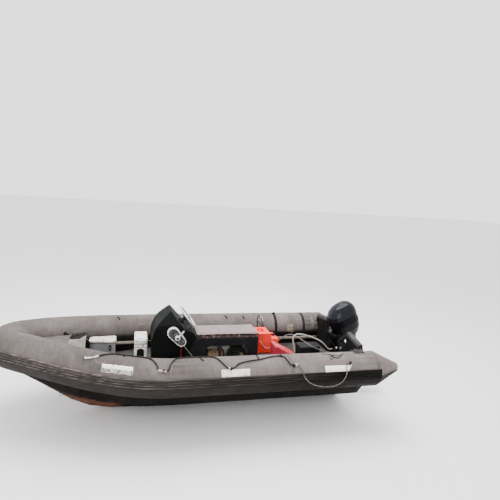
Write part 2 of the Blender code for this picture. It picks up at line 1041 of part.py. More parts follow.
def bow_places():
    """The tube's axis from the end of its straight run to the centre line."""
    tip_x = bow_start_x - bow_reach
    start = Vector((bow_start_x, -tube_half_spacing))
    meet = Vector(
        (
            tip_x + nose_bend_radius * (1 - cos(nose_bend_angle)),
            -nose_bend_radius * sin(nose_bend_angle),
        )
    )
    heading = Vector((-sin(nose_bend_angle), cos(nose_bend_angle)))
    span = (meet - start).length
    pulls = (
        start,
        start + Vector((-bow_leave_share * span, 0)),
        meet - heading * (bow_meet_share * span),
        meet,
    )
    plan = []
    for k in range(bow_curve_steps + 1):
        t = k / bow_curve_steps
        weights = ((1 - t) ** 3, 3 * t * (1 - t) ** 2, 3 * t**2 * (1 - t), t**3)
        plan.append(sum((p * w for p, w in zip(pulls, weights)), Vector((0, 0))))
    for k in range(1, nose_bend_steps + 1):
        turn = nose_bend_angle * (1 - k / nose_bend_steps)
        x = tip_x + nose_bend_radius * (1 - cos(turn))
        plan.append(Vector((x, -nose_bend_radius * sin(turn))))
    run = [0.0]
    for before, after in zip(plan, plan[1:]):
        run.append(run[-1] + (after - before).length)
    places = []
    for spot, along in zip(plan, run):
        rise = bow_rise * (1 - cos(pi * along / run[-1])) / 2
        places.append(Vector((spot.x, spot.y, tube_axis_height + rise)))
    return places, [along / run[-1] for along in run]


def bow_stations():
    places, shares = bow_places()
    steps = [(after - before).normalized() for before, after in zip(places, places[1:])]
    forward = Vector((-1, 0, 0))
    last = steps[-1]
    across = Vector((-last.x, last.y, -last.z))
    made = []
    for k, place in enumerate(places):
        before = steps[k - 1] if k else forward
        after = steps[k] if k < len(steps) else across
        if k == 0:
            after = forward
        along = (before + after).normalized()
        outward = upwards.cross(along).normalized()
        up = along.cross(outward)
        made.append(Station(place, outward, up, 1 / along.dot(before), shares[k]))
    return made


def on_tube(station, radius, angle):
    """A place round the tube: angle 0 faces outboard and a quarter turn faces up."""
    across = station.outward * (radius * cos(angle) * station.stretch)
    return station.place + across + station.up * (radius * sin(angle))


def tube_angle(step):
    return tau * step / tube_sides


def tube_ring(station, radius):
    return [on_tube(station, radius, tube_angle(k)) for k in range(tube_sides)]


bow = bow_stations()
transom_back_x = stern_x - transom_gap_to_cone
transom_front_x = transom_back_x - transom_thickness


def other_side(station):
    flip = Vector((1, -1, 1))
    return Station(
        station.place * flip,
        station.outward * flip,
        station.up * flip,
        station.stretch,
        station.share,
    )


# Inflated tubes: two straight chambers, two bow chambers and two stern cones
def make_tubes():
    straight = loft(
        "tube_port",
        [
            tube_ring(straight_station(stern_x), tube_radius),
            tube_ring(straight_station(bow_start_x + seat_gap), tube_radius),
        ],
    )
    piece("tube_port", straight, tube_fabric)
    piece("tube_starboard", mirrored(straight), tube_fabric)

    rings = [tube_ring(station, tube_radius) for station in bow]
    rings[-1] = [place - Vector((0, seat_gap / 2, 0)) for place in rings[-1]]
    curved = loft("tube_bow_port", rings)
    piece("tube_bow_port", curved, tube_fabric)
    piece("tube_bow_starboard", mirrored(curved), tube_fabric)

    start = stern_x + seat_gap
    taper = cone_length - cone_tip_round
    stages = (
        (start, tube_radius),
        (start + taper, cone_tip_radius),
        (start + taper + cone_tip_round * cone_round_share, cone_tip_radius * cone_round_share),
        (start + cone_length, cone_tip_radius * cone_end_share),
    )
    cone = loft("cone_port", [tube_ring(straight_station(x), r) for x, r in stages])
    piece("cone_port", cone, tube_fabric)
    piece("cone_starboard", mirrored(cone), tube_fabric)


# Rubbing strake: a ribbed strip bonded round the outside of the tubes
def strake_ring(station):
    seat = tube_radius + seat_gap
    inner = [
        on_tube(station, seat, tube_angle(k))
        for k in range(strake_low_step, strake_high_step + 1)
    ]
    top = tube_angle(strake_high_step)
    fall = (tube_angle(strake_low_step) - top) / strake_ribs
    valley = seat + strake_base
    crest = valley + strake_rib_height
    outer = [on_tube(station, valley, top)]
    for rib in range(strake_ribs):
        foot = top + fall * rib
        outer.append(on_tube(station, crest, foot + fall * rib_rise_share))
        outer.append(on_tube(station, crest, foot + fall * rib_fall_share))
        outer.append(on_tube(station, valley, foot + fall))
    return inner + outer


def make_strakes():
    ends = [straight_station(stern_x), straight_station(bow_start_x + seat_gap)]
    strip = loft("strake_port", [strake_ring(station) for station in ends])
    piece("strake_port", strip, strake_rubber)
    piece("strake_starboard", mirrored(strip), strake_rubber)
    whole = bow + [other_side(station) for station in reversed(bow[:-1])]
    piece("strake_bow", loft("strake_bow", [strake_ring(s) for s in whole]), strake_rubber)


# Rigid hull
def keel_point(share):
    """The keel runs straight, then turns up the stem to the underside of the bow."""
    top = stem_top()
    turn = (bow_start_x - keel_straight_end_x) / (bow_start_x - top.x)
    if share <= turn:
        x = bow_start_x + (keel_straight_end_x - bow_start_x) * share / turn
        return Vector((x, 0, 0))
    t = (share - turn) / (1 - turn)
    start = Vector((keel_straight_end_x, 0, 0))
    pulls = (
        start,
        start - Vector((stem_pull_length, 0, 0)),
        top + Vector((stem_foot_back, 0, -stem_foot_drop)) * stem_lift_share,
        top,
    )
    weights = ((1 - t) ** 3, 3 * t * (1 - t) ** 2, 3 * t**2 * (1 - t), t**3)
    return sum((p * w for p, w in zip(pulls, weights)), Vector((0, 0, 0)))


def stem_top():
    low = on_tube(bow[-1], tube_radius + seat_gap + flange_thickness, tube_angle(flange_low_step))
    return Vector((low.x, 0, low.z))


bed_height = deck_height - deck_thickness - seat_gap


def inwale_foot(station, inset=0.0):
    """Where the inwale's inner face meets the bed, moved inboard by the inset."""
    rim = on_tube(station, tube_radius + seat_gap, tube_angle(flange_high_step))
    inner = rim - station.outward * (inwale_width + inset)
    return Vector((inner.x, min(inner.y, 0), bed_height))


def hull_section(station, keel):
    """The port half of a section, from the keel outboard and back over the bed."""
    fade = 1 - station.share
    seat = tube_radius + seat_gap
    low = tube_angle(flange_low_step)
    lip = on_tube(station, seat + flange_thickness, low)
    if station.share == 1:
        keel = Vector((lip.x, 0, lip.z))
    pad = keel + port_side * (keel_pad_half_width * fade)
    rise = lip - keel
    chine = keel + Vector(
        (
            rise.x * chine_lateral_share,
            rise.y * chine_lateral_share,
            rise.z * chine_height_share,
        )
    )
    bottom = chine - pad
    section = [keel, pad]
    for share in rail_shares:
        foot = pad + bottom * share
        tip = foot + port_side * (rail_width * fade)
        back = foot + bottom * (rail_width * fade * rail_return_share / tube_half_spacing)
        section += [foot, tip, Vector((tip.x, tip.y, back.z))]
    section += [chine, chine + port_side * (chine_flat_width * fade), lip]
    for step in range(flange_low_step, flange_high_step - 1, -1):
        section.append(on_tube(station, seat, tube_angle(step)))
    rim = section[-1] - station.outward * inwale_width
    foot = inwale_foot(station)
    section += [Vector((foot.x, foot.y, rim.z)), foot, Vector((foot.x, 0, bed_height))]
    return section


def hull_rows():
    rows = []
    for x in (transom_front_x - seat_gap, hull_mid_x):
        rows.append(hull_section(straight_station(x), Vector((x, 0, 0))))
    for station in bow:
        rows.append(hull_section(station, keel_point(station.share)))
    return rows


def make_hull():
    rows = hull_rows()
    for place in rows[-1]:
        place.y = 0
    bm = bmesh.new()
    grid = [[bm.verts.new(place) for place in row] for row in rows]
    for low, high in zip(grid, grid[1:]):
        for k in range(len(low) - 1):
            bm.faces.new((low[k], low[k + 1], high[k + 1], high[k]))
    bm.faces.new(grid[0])
    bmesh.ops.remove_doubles(bm, verts=bm.verts, dist=weld_distance)
    hull = piece("hull", as_mesh("hull", bm), hull_paint)
    mirror = hull.modifiers.new("starboard_half", "MIRROR")
    mirror.use_axis = (False, True, False)
    mirror.merge_threshold = weld_distance
    return hull


def make_deck():
    edge = []
    stations = [straight_station(transom_front_x - seat_gap), *bow]
    for station in stations:
        foot = inwale_foot(station, seat_gap)
        edge.append((foot.x, foot.y))
    edge[0] = (transom_front_x - seat_gap, edge[0][1])
    port = [spot for spot in edge if spot[1] < -deck_point_half_width]
    outline = port + [(x, -y) for x, y in reversed(port)]
    deck = flat_slab("deck", outline, bed_height + seat_gap, deck_height)
    piece("deck", deck, deck_paint)


# Transom with its motor well, and the grey caps on its two shoulders
def transom_half():
    section = hull_section(straight_station(transom_front_x), Vector((transom_front_x, 0, 0)))
    wing = [(p.y, p.z) for p in section if p.z < bed_height + overrun][: 2 + 3 * len(rail_shares) + 3]
    station = straight_station(transom_front_x)
    for step in range(flange_low_step, transom_high_step - 1, -1):
        spot = on_tube(station, tube_radius + seat_gap, tube_angle(step))
        wing.append((spot.y, spot.z))
    wing.append((-transom_outer_half_width, transom_outer_top))
    wing.append((-motor_well_top_half_width, transom_inner_top))
    wing += rounded(
        [
            (-motor_well_top_half_width, transom_inner_top),
            (-motor_well_half_width, motor_well_height),
            (0, motor_well_height),
        ],
        [0, motor_well_round, 0],
        corner_steps,
    )[1:-1]
    return wing[1:]


def make_transom():
    port = transom_half()
    outline = port + [(-y, z) for y, z in reversed(port)]
    board = end_slab("transom", outline, transom_front_x, transom_back_x)
    piece("transom", board, transom_paint)

    inner = Vector((-motor_well_top_half_width, transom_inner_top))
    outer = Vector((-transom_outer_half_width, transom_outer_top))
    half = transom_thickness / 2
    slot = half + seat_gap
    side = slot + cap_wall
    channel = [
        (-side, -cap_depth),
        (-slot, -cap_depth),
        (-slot, seat_gap),
        (slot, seat_gap),
        (slot, -cap_depth),
        (side, -cap_depth),
        (side, cap_wall),
        (slot * cap_crown_share, cap_wall + cap_crown),
        (-slot * cap_crown_share, cap_wall + cap_crown),
        (-side, cap_wall),
    ]
    length = (outer - inner).length
    mesh = outline_mesh("transom_cap_port", channel, length)
    run = (outer - inner).normalized()
    middle = (outer + inner) / 2
    along = Vector((0, run.x, run.y))
    above = Vector((0, run.y, -run.x))
    frame = Matrix(
        (
            (1, above.x, along.x, (transom_front_x + transom_back_x) / 2),
            (0, above.y, along.y, middle.x),
            (0, above.z, along.z, middle.y),
            (0, 0, 0, 1),
        )
    )
    mesh.transform(frame)
    bm = bmesh.new()
    bm.from_mesh(mesh)
    mesh = as_mesh("transom_cap_port", bm)
    piece("transom_cap_port", mesh, grey_trim)
    piece("transom_cap_starboard", mirrored(mesh), grey_trim)


# Bow: towing eye on the stem, fabric dodger between the tubes, locker with its lid
def make_bow_eye():
    stations = [station for station in bow if station.share <= bow_eye_share]
    low = keel_point(stations[-1].share)
    high = keel_point(bow[len(stations)].share)
    along = (high - low).normalized()
    outward = Vector((along.z, 0, -along.x))
    outward = outward if outward.z < 0 else -outward
    frame = aimed((low + high) / 2 + outward * seat_gap, outward)
    plate = flat_slab(
        "bow_eye",
        rounded_rectangle(bow_eye_plate_width, bow_eye_plate_length, bow_eye_plate_width / 2),
        0,
        bow_eye_plate_thickness,
    )
    rod = bow_eye_rod_radius
    half = bow_eye_width / 2 - rod
    knee = bow_eye_reach - half - rod
    bend = [(0, y, z + knee) for y, z in arc((0, 0), half, 0, pi, arc_steps * 2)]
    path = [(0, half, rod / 2), *bend, (0, -half, rod / 2)]
    loop = evaluated_mesh(rope("bow_eye_loop", path, rod, galvanised, resolution=1))
    plate.transform(frame)
    loop.transform(frame)
    fuse(piece("bow_eye", plate, galvanised), loop)


def make_dodger():
    """A fabric sheet over the bow, its hem bonded along the inside of both tubes."""
    rings = []
    for station in bow:
        seat = tube_radius + seat_gap
        high = on_tube(station, seat, tube_angle(dodger_step))
        low = on_tube(station, seat, tube_angle(dodger_step + 1))
        if high.x > bow_start_x - dodger_reach or low.y > -dodger_least_half_width:
            continue
        ring = []
        crown = dodger_crown * min(1, -high.y / dodger_full_half_width)
        for share in dodger_shares:
            ring.append((high.x, high.y * share, high.z + crown * (1 - share**2)))
        for share in reversed(dodger_shares):
            height = high.z + crown * (1 - share**2) - dodger_thickness
            if abs(share) == 1:
                height = low.z
            ring.append((low.x if abs(share) == 1 else high.x, low.y * share, height))
        rings.append(ring)
    piece("bow_dodger", loft("bow_dodger", rings), tube_fabric)


def locker_outline(inset):
    front = locker_front_width / 2 - inset
    back = locker_width / 2 - inset
    half = locker_length / 2 - inset
    corners = [(-half, -front), (half, -back), (half, back), (-half, front)]
    return rounded(corners, locker_corner - inset)


def make_locker():
    floor = deck_height + seat_gap
    top = floor + locker_height - locker_lid_thickness
    centre = (locker_centre_x, locker_centre_y)
    outer, inner = locker_outline(0), locker_outline(locker_wall)
    box = loft(
        "bow_locker",
        [
            level(inner, floor + locker_wall, centre),
            level(inner, top, centre),
            level(outer, top, centre),
            level(outer, floor, centre),
        ],
    )
    locker = piece("bow_locker", box, grey_trim)

    wall_x = locker_centre_x + locker_length / 2
    rim_bottom = top - locker_lid_overlap
    axis_x = wall_x + locker_knuckle_radius + running_gap
    axis_z = rim_bottom - locker_knuckle_radius - running_gap
    reach = locker_knuckle_length / 2
    span = reach + pin_gap + locker_knuckle_length
    across = Vector((0, 1, 0))
    knuckles = []
    for start in (-span, reach + pin_gap):
        place = Vector((axis_x, locker_centre_y + start, axis_z))
        frame = aimed(place, across)
        knuckles.append(
            drum("knuckle", locker_knuckle_radius, locker_knuckle_length, frame, round_sides)
        )
        knuckles.append(
            block(
                "leaf",
                (wall_x - locker_wall / 2, place.y, axis_z - locker_knuckle_radius / 2),
                (axis_x, place.y + locker_knuckle_length, axis_z + locker_knuckle_radius / 2),
            )
        )
    frame = aimed(Vector((axis_x, locker_centre_y - span / 2 - reach / 2, axis_z)), across)
    pin = drum("pin", hinge_pin_radius, span + reach, frame, round_sides)
    fuse(locker, *knuckles, pin)

    axis = bpy.data.objects.new("locker_lid_axis", None)
    axis.location = (axis_x, locker_centre_y, axis_z)
    boat.objects.link(axis)
    local = (locker_centre_x - axis_x, 0)
    rim = locker_wall + running_gap
    lid_inner = locker_outline(-running_gap)
    lid_outer = locker_outline(-rim)
    lid_top = locker_outline(locker_lid_round - rim)
    under = top + seat_gap - axis_z
    over = under + locker_lid_thickness
    lid = loft(
        "bow_locker_lid",
        [
            level(lid_inner, under, local),
            level(lid_inner, rim_bottom - axis_z, local),
            level(lid_outer, rim_bottom - axis_z, local),
            level(lid_outer, over - locker_lid_round, local),
            level(lid_top, over, local),
        ],
    )
    lid = piece("bow_locker_lid", lid, white_plastic, axis)
    frame = aimed(Vector((0, -reach, 0)), across)
    knuckle = drum("lid_knuckle", locker_knuckle_radius, 2 * reach, frame, round_sides)
    leaf = block(
        "lid_leaf",
        (wall_x + 2 * running_gap - axis_x, -reach, 0),
        (wall_x + rim - axis_x + locker_leaf_thickness, reach, rim_bottom - axis_z + locker_wall),
    )
    fuse(lid, knuckle, leaf)
    frame = aimed(Vector((0, -reach - overrun, 0)), across)
    bore = hinge_pin_radius + pin_gap
    cut(lid, drum("lid_bore", bore, 2 * (reach + overrun), frame, round_sides))


# White moulded step: two tiers with a groove between them and an arch under it
def make_front_step():
    floor = deck_height + seat_gap
    centre = (step_front_x + step_length / 2, 0)

    def tier(inset):
        return rounded_rectangle(
            step_length - 2 * inset, step_width - 2 * inset, step_corner - inset
        )

    groove = floor + step_waist_height
    mesh = loft(
        "front_step",
        [
            level(tier(0), floor, centre),
            level(tier(0), groove - step_waist_inset, centre),
            level(tier(step_waist_inset), groove, centre),
            level(tier(step_waist_inset), groove + step_waist_inset, centre),
            level(tier(0), groove + 2 * step_waist_inset, centre),
            level(tier(0), floor + step_height - step_waist_inset, centre),
            level(tier(step_waist_inset), floor + step_height, centre),
        ],
    )
    step = piece("front_step", mesh, white_plastic)
    rise = floor + step_arch_height - step_arch_half_width
    arch = [(centre[0] - step_arch_half_width, deck_height - overrun)]
    arch += arc((centre[0], rise), step_arch_half_width, pi, 0, 2 * arc_steps)
    arch.append((centre[0] + step_arch_half_width, deck_height - overrun))
    reach = step_width / 2 + overrun
    cut(step, side_slab("step_arch", arch, -reach, reach))


# Console: one moulding whose sides are drawn in above the throttle
dash_run = Vector((dash_foot[0] - console_peak[0], 0, dash_foot[1] - console_peak[1]))
dash_down = dash_run.normalized()
dash_normal = Vector((-dash_down.z, 0, dash_down.x))
dash_top = Vector((console_peak[0], 0, console_peak[1]))
wheel_foot = dash_top + dash_down * wheel_drop


def trim(mesh, place, normal):
    """Cuts away what lies beyond a plane and closes the cut."""
    bm = bmesh.new()
    bm.from_mesh(mesh)
    everything = bm.verts[:] + bm.edges[:] + bm.faces[:]
    found = bmesh.ops.bisect_plane(
        bm, geom=everything, plane_co=place, plane_no=normal, clear_outer=True
    )
    rim = [item for item in found["geom_cut"] if isinstance(item, bmesh.types.BMEdge)]
    bmesh.ops.edgeloop_fill(bm, edges=rim)
    bmesh.ops.recalc_face_normals(bm, faces=bm.faces)
    bm.to_mesh(mesh)
    bm.free()
    return mesh


def make_console():
    floor = deck_height + seat_gap
    corners = [
        (console_foot_front_x, floor),
        (console_foot_back_x, floor),
        console_waist,
        knee_low,
        knee_out,
        knee_top,
        dash_foot,
        console_peak,
        console_brow,
        console_shoulder,
    ]
    rounds = [
        0,
        0,
        console_waist_round,
        console_knee_round,
        console_knee_round,
        console_knee_round,
        console_edge_round,
        console_edge_round,
        console_brow_round,
        console_shoulder_round,
    ]
    outline = rounded(corners, rounds, corner_steps)
    mesh = side_slab("console", outline, -console_half_width, console_half_width)
    slope = Vector(
        (
            0,
            console_peak[1] - console_taper_start,
            console_half_width - console_top_half_width,
        )
    ).normalized()
    for side in (-1, 1):
        place = Vector((0, side * console_half_width, console_taper_start))
        trim(mesh, place, Vector((0, side * slope.y, slope.z)))
    soften(mesh, console_edge_round, 2)
    piece("console", mesh, console_gloss)


# Steering wheel on its helm unit, square to the dash
hub_low = helm_depth + helm_nose_length + running_gap
hub_high = hub_low + wheel_hub_length


def make_steering():
    frame = aimed(wheel_foot, dash_normal)
    shaft = helm_shaft_radius
    bore = shaft + pin_gap
    profile = [
        (bore, helm_depth + helm_nose_length),
        (helm_nose_radius, helm_depth + helm_nose_length),
        (helm_nose_radius, helm_depth),
        (helm_radius - helm_round, helm_depth),
        (helm_radius, helm_depth - helm_round),
        (helm_radius, seat_gap),
        (bore, seat_gap),
    ]
    unit = turned("helm_unit", profile, frame, pin_sides, closed=True)
    piece("helm_unit", unit, black_plastic)

    axis = bpy.data.objects.new("steering_wheel_axis", None)
    axis.matrix_world = frame @ Matrix.Translation((0, 0, wheel_standoff))
    boat.objects.link(axis)
    grip = [
        (wheel_radius + wheel_grip_radius * cos(turn), wheel_grip_radius * sin(turn))
        for turn in (-tau * k / wheel_grip_sides for k in range(wheel_grip_sides))
    ]
    rim = turned("steering_wheel_rim", grip, steps=wheel_rim_sides, closed=True)
    piece("steering_wheel_rim", rim, white_plastic, axis)

    low = hub_low - wheel_standoff
    high = hub_high - wheel_standoff
    round_edge = wheel_hub_length * hub_round_share
    profile = [
        (0, high),
        (wheel_hub_radius - round_edge, high),
        (wheel_hub_radius, high - round_edge),
        (wheel_hub_radius, low),
        (shaft, low),
        (shaft, 2 * seat_gap - wheel_standoff),
        (0, 2 * seat_gap - wheel_standoff),
    ]
    hub = piece("steering_wheel_hub", turned("hub", profile, steps=pin_sides), black_plastic, axis)
    reach = (wheel_radius - wheel_grip_radius) * cos(pi / wheel_rim_sides) - seat_gap
    inner = sqrt(reach**2 - (wheel_spoke_width / 2) ** 2)
    half = wheel_spoke_thickness / 2
    middle = (low + high) / 2
    side = [
        (wheel_hub_radius - round_edge, middle - half),
        (inner * spoke_knee_share, middle * spoke_sink_share - half),
        (inner, -half),
        (inner, half),
        (inner * spoke_knee_share, middle * spoke_sink_share + half),
        (wheel_hub_radius - round_edge, middle + half),
    ]
    for k in range(wheel_spoke_count):
        spoke = side_slab("spoke", side, -wheel_spoke_width / 2, wheel_spoke_width / 2)
        turn = tau * k / wheel_spoke_count + wheel_rest_turn
        spoke.transform(Matrix.Rotation(turn, 4, "Z"))
        fuse(hub, spoke)


# Throttle control: box, lever with its grip and trim button, and the ignition key
throttle_run = Vector((cos(throttle_lean), sin(throttle_lean)))
throttle_centre = Vector((throttle_centre_x, throttle_centre_z))


def stadium(inset):
    """The box's outline in X and Z, drawn in by the inset."""
    radius = throttle_round_radius - inset
    far = throttle_centre + throttle_run * throttle_long_half
    near = throttle_centre - throttle_run * throttle_long_half
    lean = throttle_lean
    small = radius * throttle_foot_share
    return arc(far, small, lean - pi / 2, lean + pi / 2, 2 * arc_steps) + arc(
        near, radius, lean + pi / 2, lean + 3 * pi / 2, 2 * arc_steps
    )


box_back = -console_half_width - seat_gap
box_front = box_back - throttle_depth
box_face = box_front + throttle_flange_depth


def throttle_spot(along, y):
    spot = throttle_centre + throttle_run * along
    return Vector((spot.x, y, spot.y))


def make_throttle():
    box = side_slab("throttle_box", stadium(0), box_back, box_front)
    soften(box, throttle_edge_round, 2)
    box = piece("throttle_box", box, white_plastic)
    recess = side_slab(
        "recess", stadium(throttle_flange_inset), box_front - overrun, box_face
    )
    outboard = Vector((0, -1, 0))
    inward = Vector((0, 1, 0))
    bore_depth = throttle_shaft_length + seat_gap
    bore = drum(
        "lever_bore",
        throttle_shaft_radius + pin_gap,
        bore_depth + overrun,
        aimed(throttle_spot(0, box_face - overrun), inward),
        pin_sides,
    )
    key_bore = drum(
        "key_bore",
        key_shaft_radius + pin_gap,
        key_shaft_length + seat_gap + overrun,
        aimed(throttle_spot(-key_offset, box_face - overrun), inward),
        round_sides,
    )
    cut(box, recess, bore, key_bore)
    foot = throttle_centre + throttle_run * throttle_long_half
    small = throttle_round_radius * throttle_foot_share
    switch = drum(
        "kill_switch",
        kill_switch_radius,
        kill_switch_length,
        aimed(
            (foot.x, (box_back + box_face) / 2, foot.y - small + kill_switch_length / 2),
            (0, 0, -1),
        ),
        round_sides,
    )
    fuse(box, switch)

    # Lever: hub and shaft on the pivot, arm up to the grip
    axis = bpy.data.objects.new("throttle_axis", None)
    axis.location = throttle_spot(0, box_face)
    boat.objects.link(axis)
    hub_profile = [
        (0, running_gap + throttle_hub_depth),
        (throttle_hub_radius * hub_crown_share, running_gap + throttle_hub_depth),
        (throttle_hub_radius, running_gap + throttle_hub_depth * hub_crown_share),
        (throttle_hub_radius, running_gap),
        (throttle_shaft_radius, running_gap),
        (throttle_shaft_radius, -throttle_shaft_length),
        (0, -throttle_shaft_length),
    ]
    hub = turned("throttle_lever", hub_profile, aimed((0, 0, 0), outboard), pin_sides)
    lever = piece("throttle_lever", hub, white_plastic, axis)
    reach = Vector((sin(lever_angle), 0, cos(lever_angle)))
    arm_face = lever_thickness / 2 - throttle_flange_depth - running_gap - grip_radius
    arm = block(
        "arm",
        (-lever_width / 2, arm_face - lever_thickness, throttle_hub_radius / 2),
        (lever_width / 2, arm_face, lever_length - grip_length / 2 - seat_gap),
    )
    soften(arm, lever_thickness * lever_round_share, 1)
    turn = Matrix.Rotation(lever_angle, 4, "Y")
    arm.transform(turn)
    grip_y = arm_face - lever_thickness / 2
    spigot = drum(
        "spigot",
        lever_spigot_radius,
        grip_length * spigot_share + lever_thickness,
        turn
        @ Matrix.Translation(
            (0, grip_y, lever_length - grip_length / 2 - seat_gap - lever_thickness)
        ),
        round_sides,
    )
    fuse(lever, arm, spigot)

    # Grip: a waisted barrel bored for the arm's spigot, with the button's pocket
    low = lever_length - grip_length / 2
    edge = grip_radius * grip_round_share
    barrel = [
        (0, low + grip_length),
        (grip_radius - edge, low + grip_length),
        (grip_radius, low + grip_length - edge),
        (grip_radius * grip_waist_share, low + grip_length / 2),
        (grip_radius, low + edge),
        (grip_radius - edge, low),
        (0, low),
    ]
    frame = turn @ Matrix.Translation((0, grip_y, 0))
    grip = piece("throttle_grip", turned("grip", barrel, frame, round_sides), black_plastic, axis)
    socket = drum(
        "socket",
        lever_spigot_radius + seat_gap,
        grip_length * spigot_share + seat_gap + overrun,
        frame @ Matrix.Translation((0, 0, low - overrun)) @ Matrix.Rotation(socket_turn, 4, "Z"),
        socket_sides,
    )
    flat = grip_radius * grip_waist_share
    pocket_floor = button_depth + button_travel + running_gap - button_proud
    pocket = block(
        "pocket",
        (-button_width / 2 - pin_gap, -flat - overrun, -button_length / 2 - pin_gap),
        (button_width / 2 + pin_gap, pocket_floor - flat, button_length / 2 + pin_gap),
    )
    pocket.transform(frame @ Matrix.Translation((0, 0, low + grip_length * button_place_share)))
    cut(grip, socket, pocket)
    button = block(
        "trim_button",
        (-button_width / 2, -flat - button_proud, -button_length / 2),
        (button_width / 2, button_depth - button_proud - flat, button_length / 2),
    )
    soften(button, button_width * button_round_share, 1)
    button.transform(frame @ Matrix.Translation((0, 0, low + grip_length * button_place_share)))
    piece("trim_button", button, grey_trim, axis)

    # Key: its shaft in the barrel, a flat bow outside
    key_axis = bpy.data.objects.new("key_axis", None)
    key_axis.location = throttle_spot(-key_offset, box_face)
    boat.objects.link(key_axis)
    shaft = drum(
        "ignition_key",
        key_shaft_radius,
        key_shaft_length + running_gap + key_head_height / 2,
        aimed((0, key_shaft_length, 0), outboard),
        round_sides,
    )
    key = piece("ignition_key", shaft, black_plastic, key_axis)
    half = key_head_width / 2
    shoulder = running_gap
    bow_shape = rounded(
        [
            (-key_shaft_radius, -shoulder),
            (-half, -shoulder - key_head_height / 3),
            (-half, -shoulder - key_head_height),
            (half, -shoulder - key_head_height),
            (half, -shoulder - key_head_height / 3),
            (key_shaft_radius, -shoulder),
        ],
        key_head_width / 4,
    )
    head = flat_slab("key_head", bow_shape, -key_head_thickness / 2, key_head_thickness / 2)
    fuse(key, head)


# Jockey seat: a base with an arch right through it, and its cushion
def make_seat():
    floor = deck_height + seat_gap
    top = seat_top_height - cushion_thickness - seat_gap
    back = seat_front_x + seat_length - cushion_overhang
    corners = [
        (seat_nose_x, floor),
        (back, floor),
        (back, top),
        (seat_base_front_x, top),
        (seat_nose_x, seat_nose_height),
    ]
    rounds = [0, 0, seat_edge_round * 2, seat_edge_round * 2, seat_arch_round]
    outline = rounded(corners, rounds)
    arch = rounded(
        [
            (seat_arch_front_x, seat_arch_floor),
            (seat_arch_back_x, seat_arch_floor),
            (seat_arch_back_x, seat_arch_top),
            (seat_arch_front_x, seat_arch_top),
        ],
        [seat_edge_round, seat_edge_round, seat_arch_round, seat_arch_round],
        corner_steps,
    )
    half = seat_base_half_width
    base = side_slab("seat_base", outline, -half, half)
    soften(base, seat_edge_round, 2)
    base = piece("seat_base", base, console_gloss)
    reach = half + overrun
    cut(base, side_slab("seat_arch", arch, -reach, reach))

    # Cushion: flat underneath, crowned on top, its sides drawn in between the corners
    low = seat_top_height - cushion_thickness
    centre = seat_front_x + seat_length / 2
    half_length = seat_length / 2
    plan = rounded_rectangle(seat_length, 2 * seat_half_width, cushion_corner, corner_steps)
    plan = divide(plan, cushion_edge_length)
    rings = []
    for height_share, inset_share in cushion_side_shares:
        inset = cushion_round * inset_share
        height = low + (cushion_thickness - cushion_crown) * height_share
        pull = cushion_draw * (1 - abs(2 * height_share - 1))
        ring = []
        for x, y in plan:
            x_share = x / half_length
            y_share = y / seat_half_width
            x_in = inset + pull * cushion_end_share * (1 - y_share**2)
            y_in = inset + pull * (1 - x_share**2)
            ring.append((centre + x - x_share * x_in, y - y_share * y_in, height))
        rings.append(ring)
    rim = rings[-1]
    for step in range(1, cushion_crown_steps):
        share = 1 - step / cushion_crown_steps
        height = rim[0][2] + cushion_crown * (1 - share**2)
        rings.append([(centre + (x - centre) * share, y * share, height) for x, y, z in rim])
    piece("seat_cushion", loft("seat_cushion", rings), cushion_vinyl)


def divide(ring, longest):
    """The ring with points added along its long edges."""
    made = []
    for here, after in zip(ring, ring[1:] + ring[:1]):
        made.append(here)
        length = sqrt((after[0] - here[0]) ** 2 + (after[1] - here[1]) ** 2)
        count = int(length / longest)
        for step in range(1, count + 1):
            share = step / (count + 1)
            made.append(
                (
                    here[0] + (after[0] - here[0]) * share,
                    here[1] + (after[1] - here[1]) * share,
                )
            )
    return made


# Bundles stowed in the seat's arch: a rolled canvas and a heap of net
def bundle(name, mat, centre_x, length, radius, flatness, swell_shares):
    floor = seat_arch_floor + seat_gap
    middle = floor + radius * flatness
    rings = []
    for place_share, size_share in swell_shares:
        x = centre_x + length * (place_share - 1 / 2)
        size = radius * size_share
        ring = []
        for k in range(bundle_sides):
            turn = tau * k / bundle_sides
            height = middle - radius * (1 - size_share) * flatness + size * sin(turn)
            ring.append((x, size * bundle_width_share * cos(turn), max(floor, height)))
        rings.append(ring)
    piece(name, loft(name, rings), mat)


def make_bundles():
    bundle(
        "canvas_bundle",
        canvas,
        canvas_centre_x,
        canvas_length,
        canvas_radius,
        canvas_flat_share,
        canvas_swell_shares,
    )
    bundle(
        "net_bundle",
        netting,
        net_centre_x,
        net_length,
        net_radius,
        net_flat_share,
        net_swell_shares,
    )


# Fuel tanks: the upright tank with its cap, and a low wedge behind the seat
def scalloped(radius, depth, lobes, height):
    count = lobes * 2
    return [
        (
            (radius - depth * (k % 2)) * cos(tau * k / count),
            (radius - depth * (k % 2)) * sin(tau * k / count),
            height,
        )
        for k in range(count)
    ]


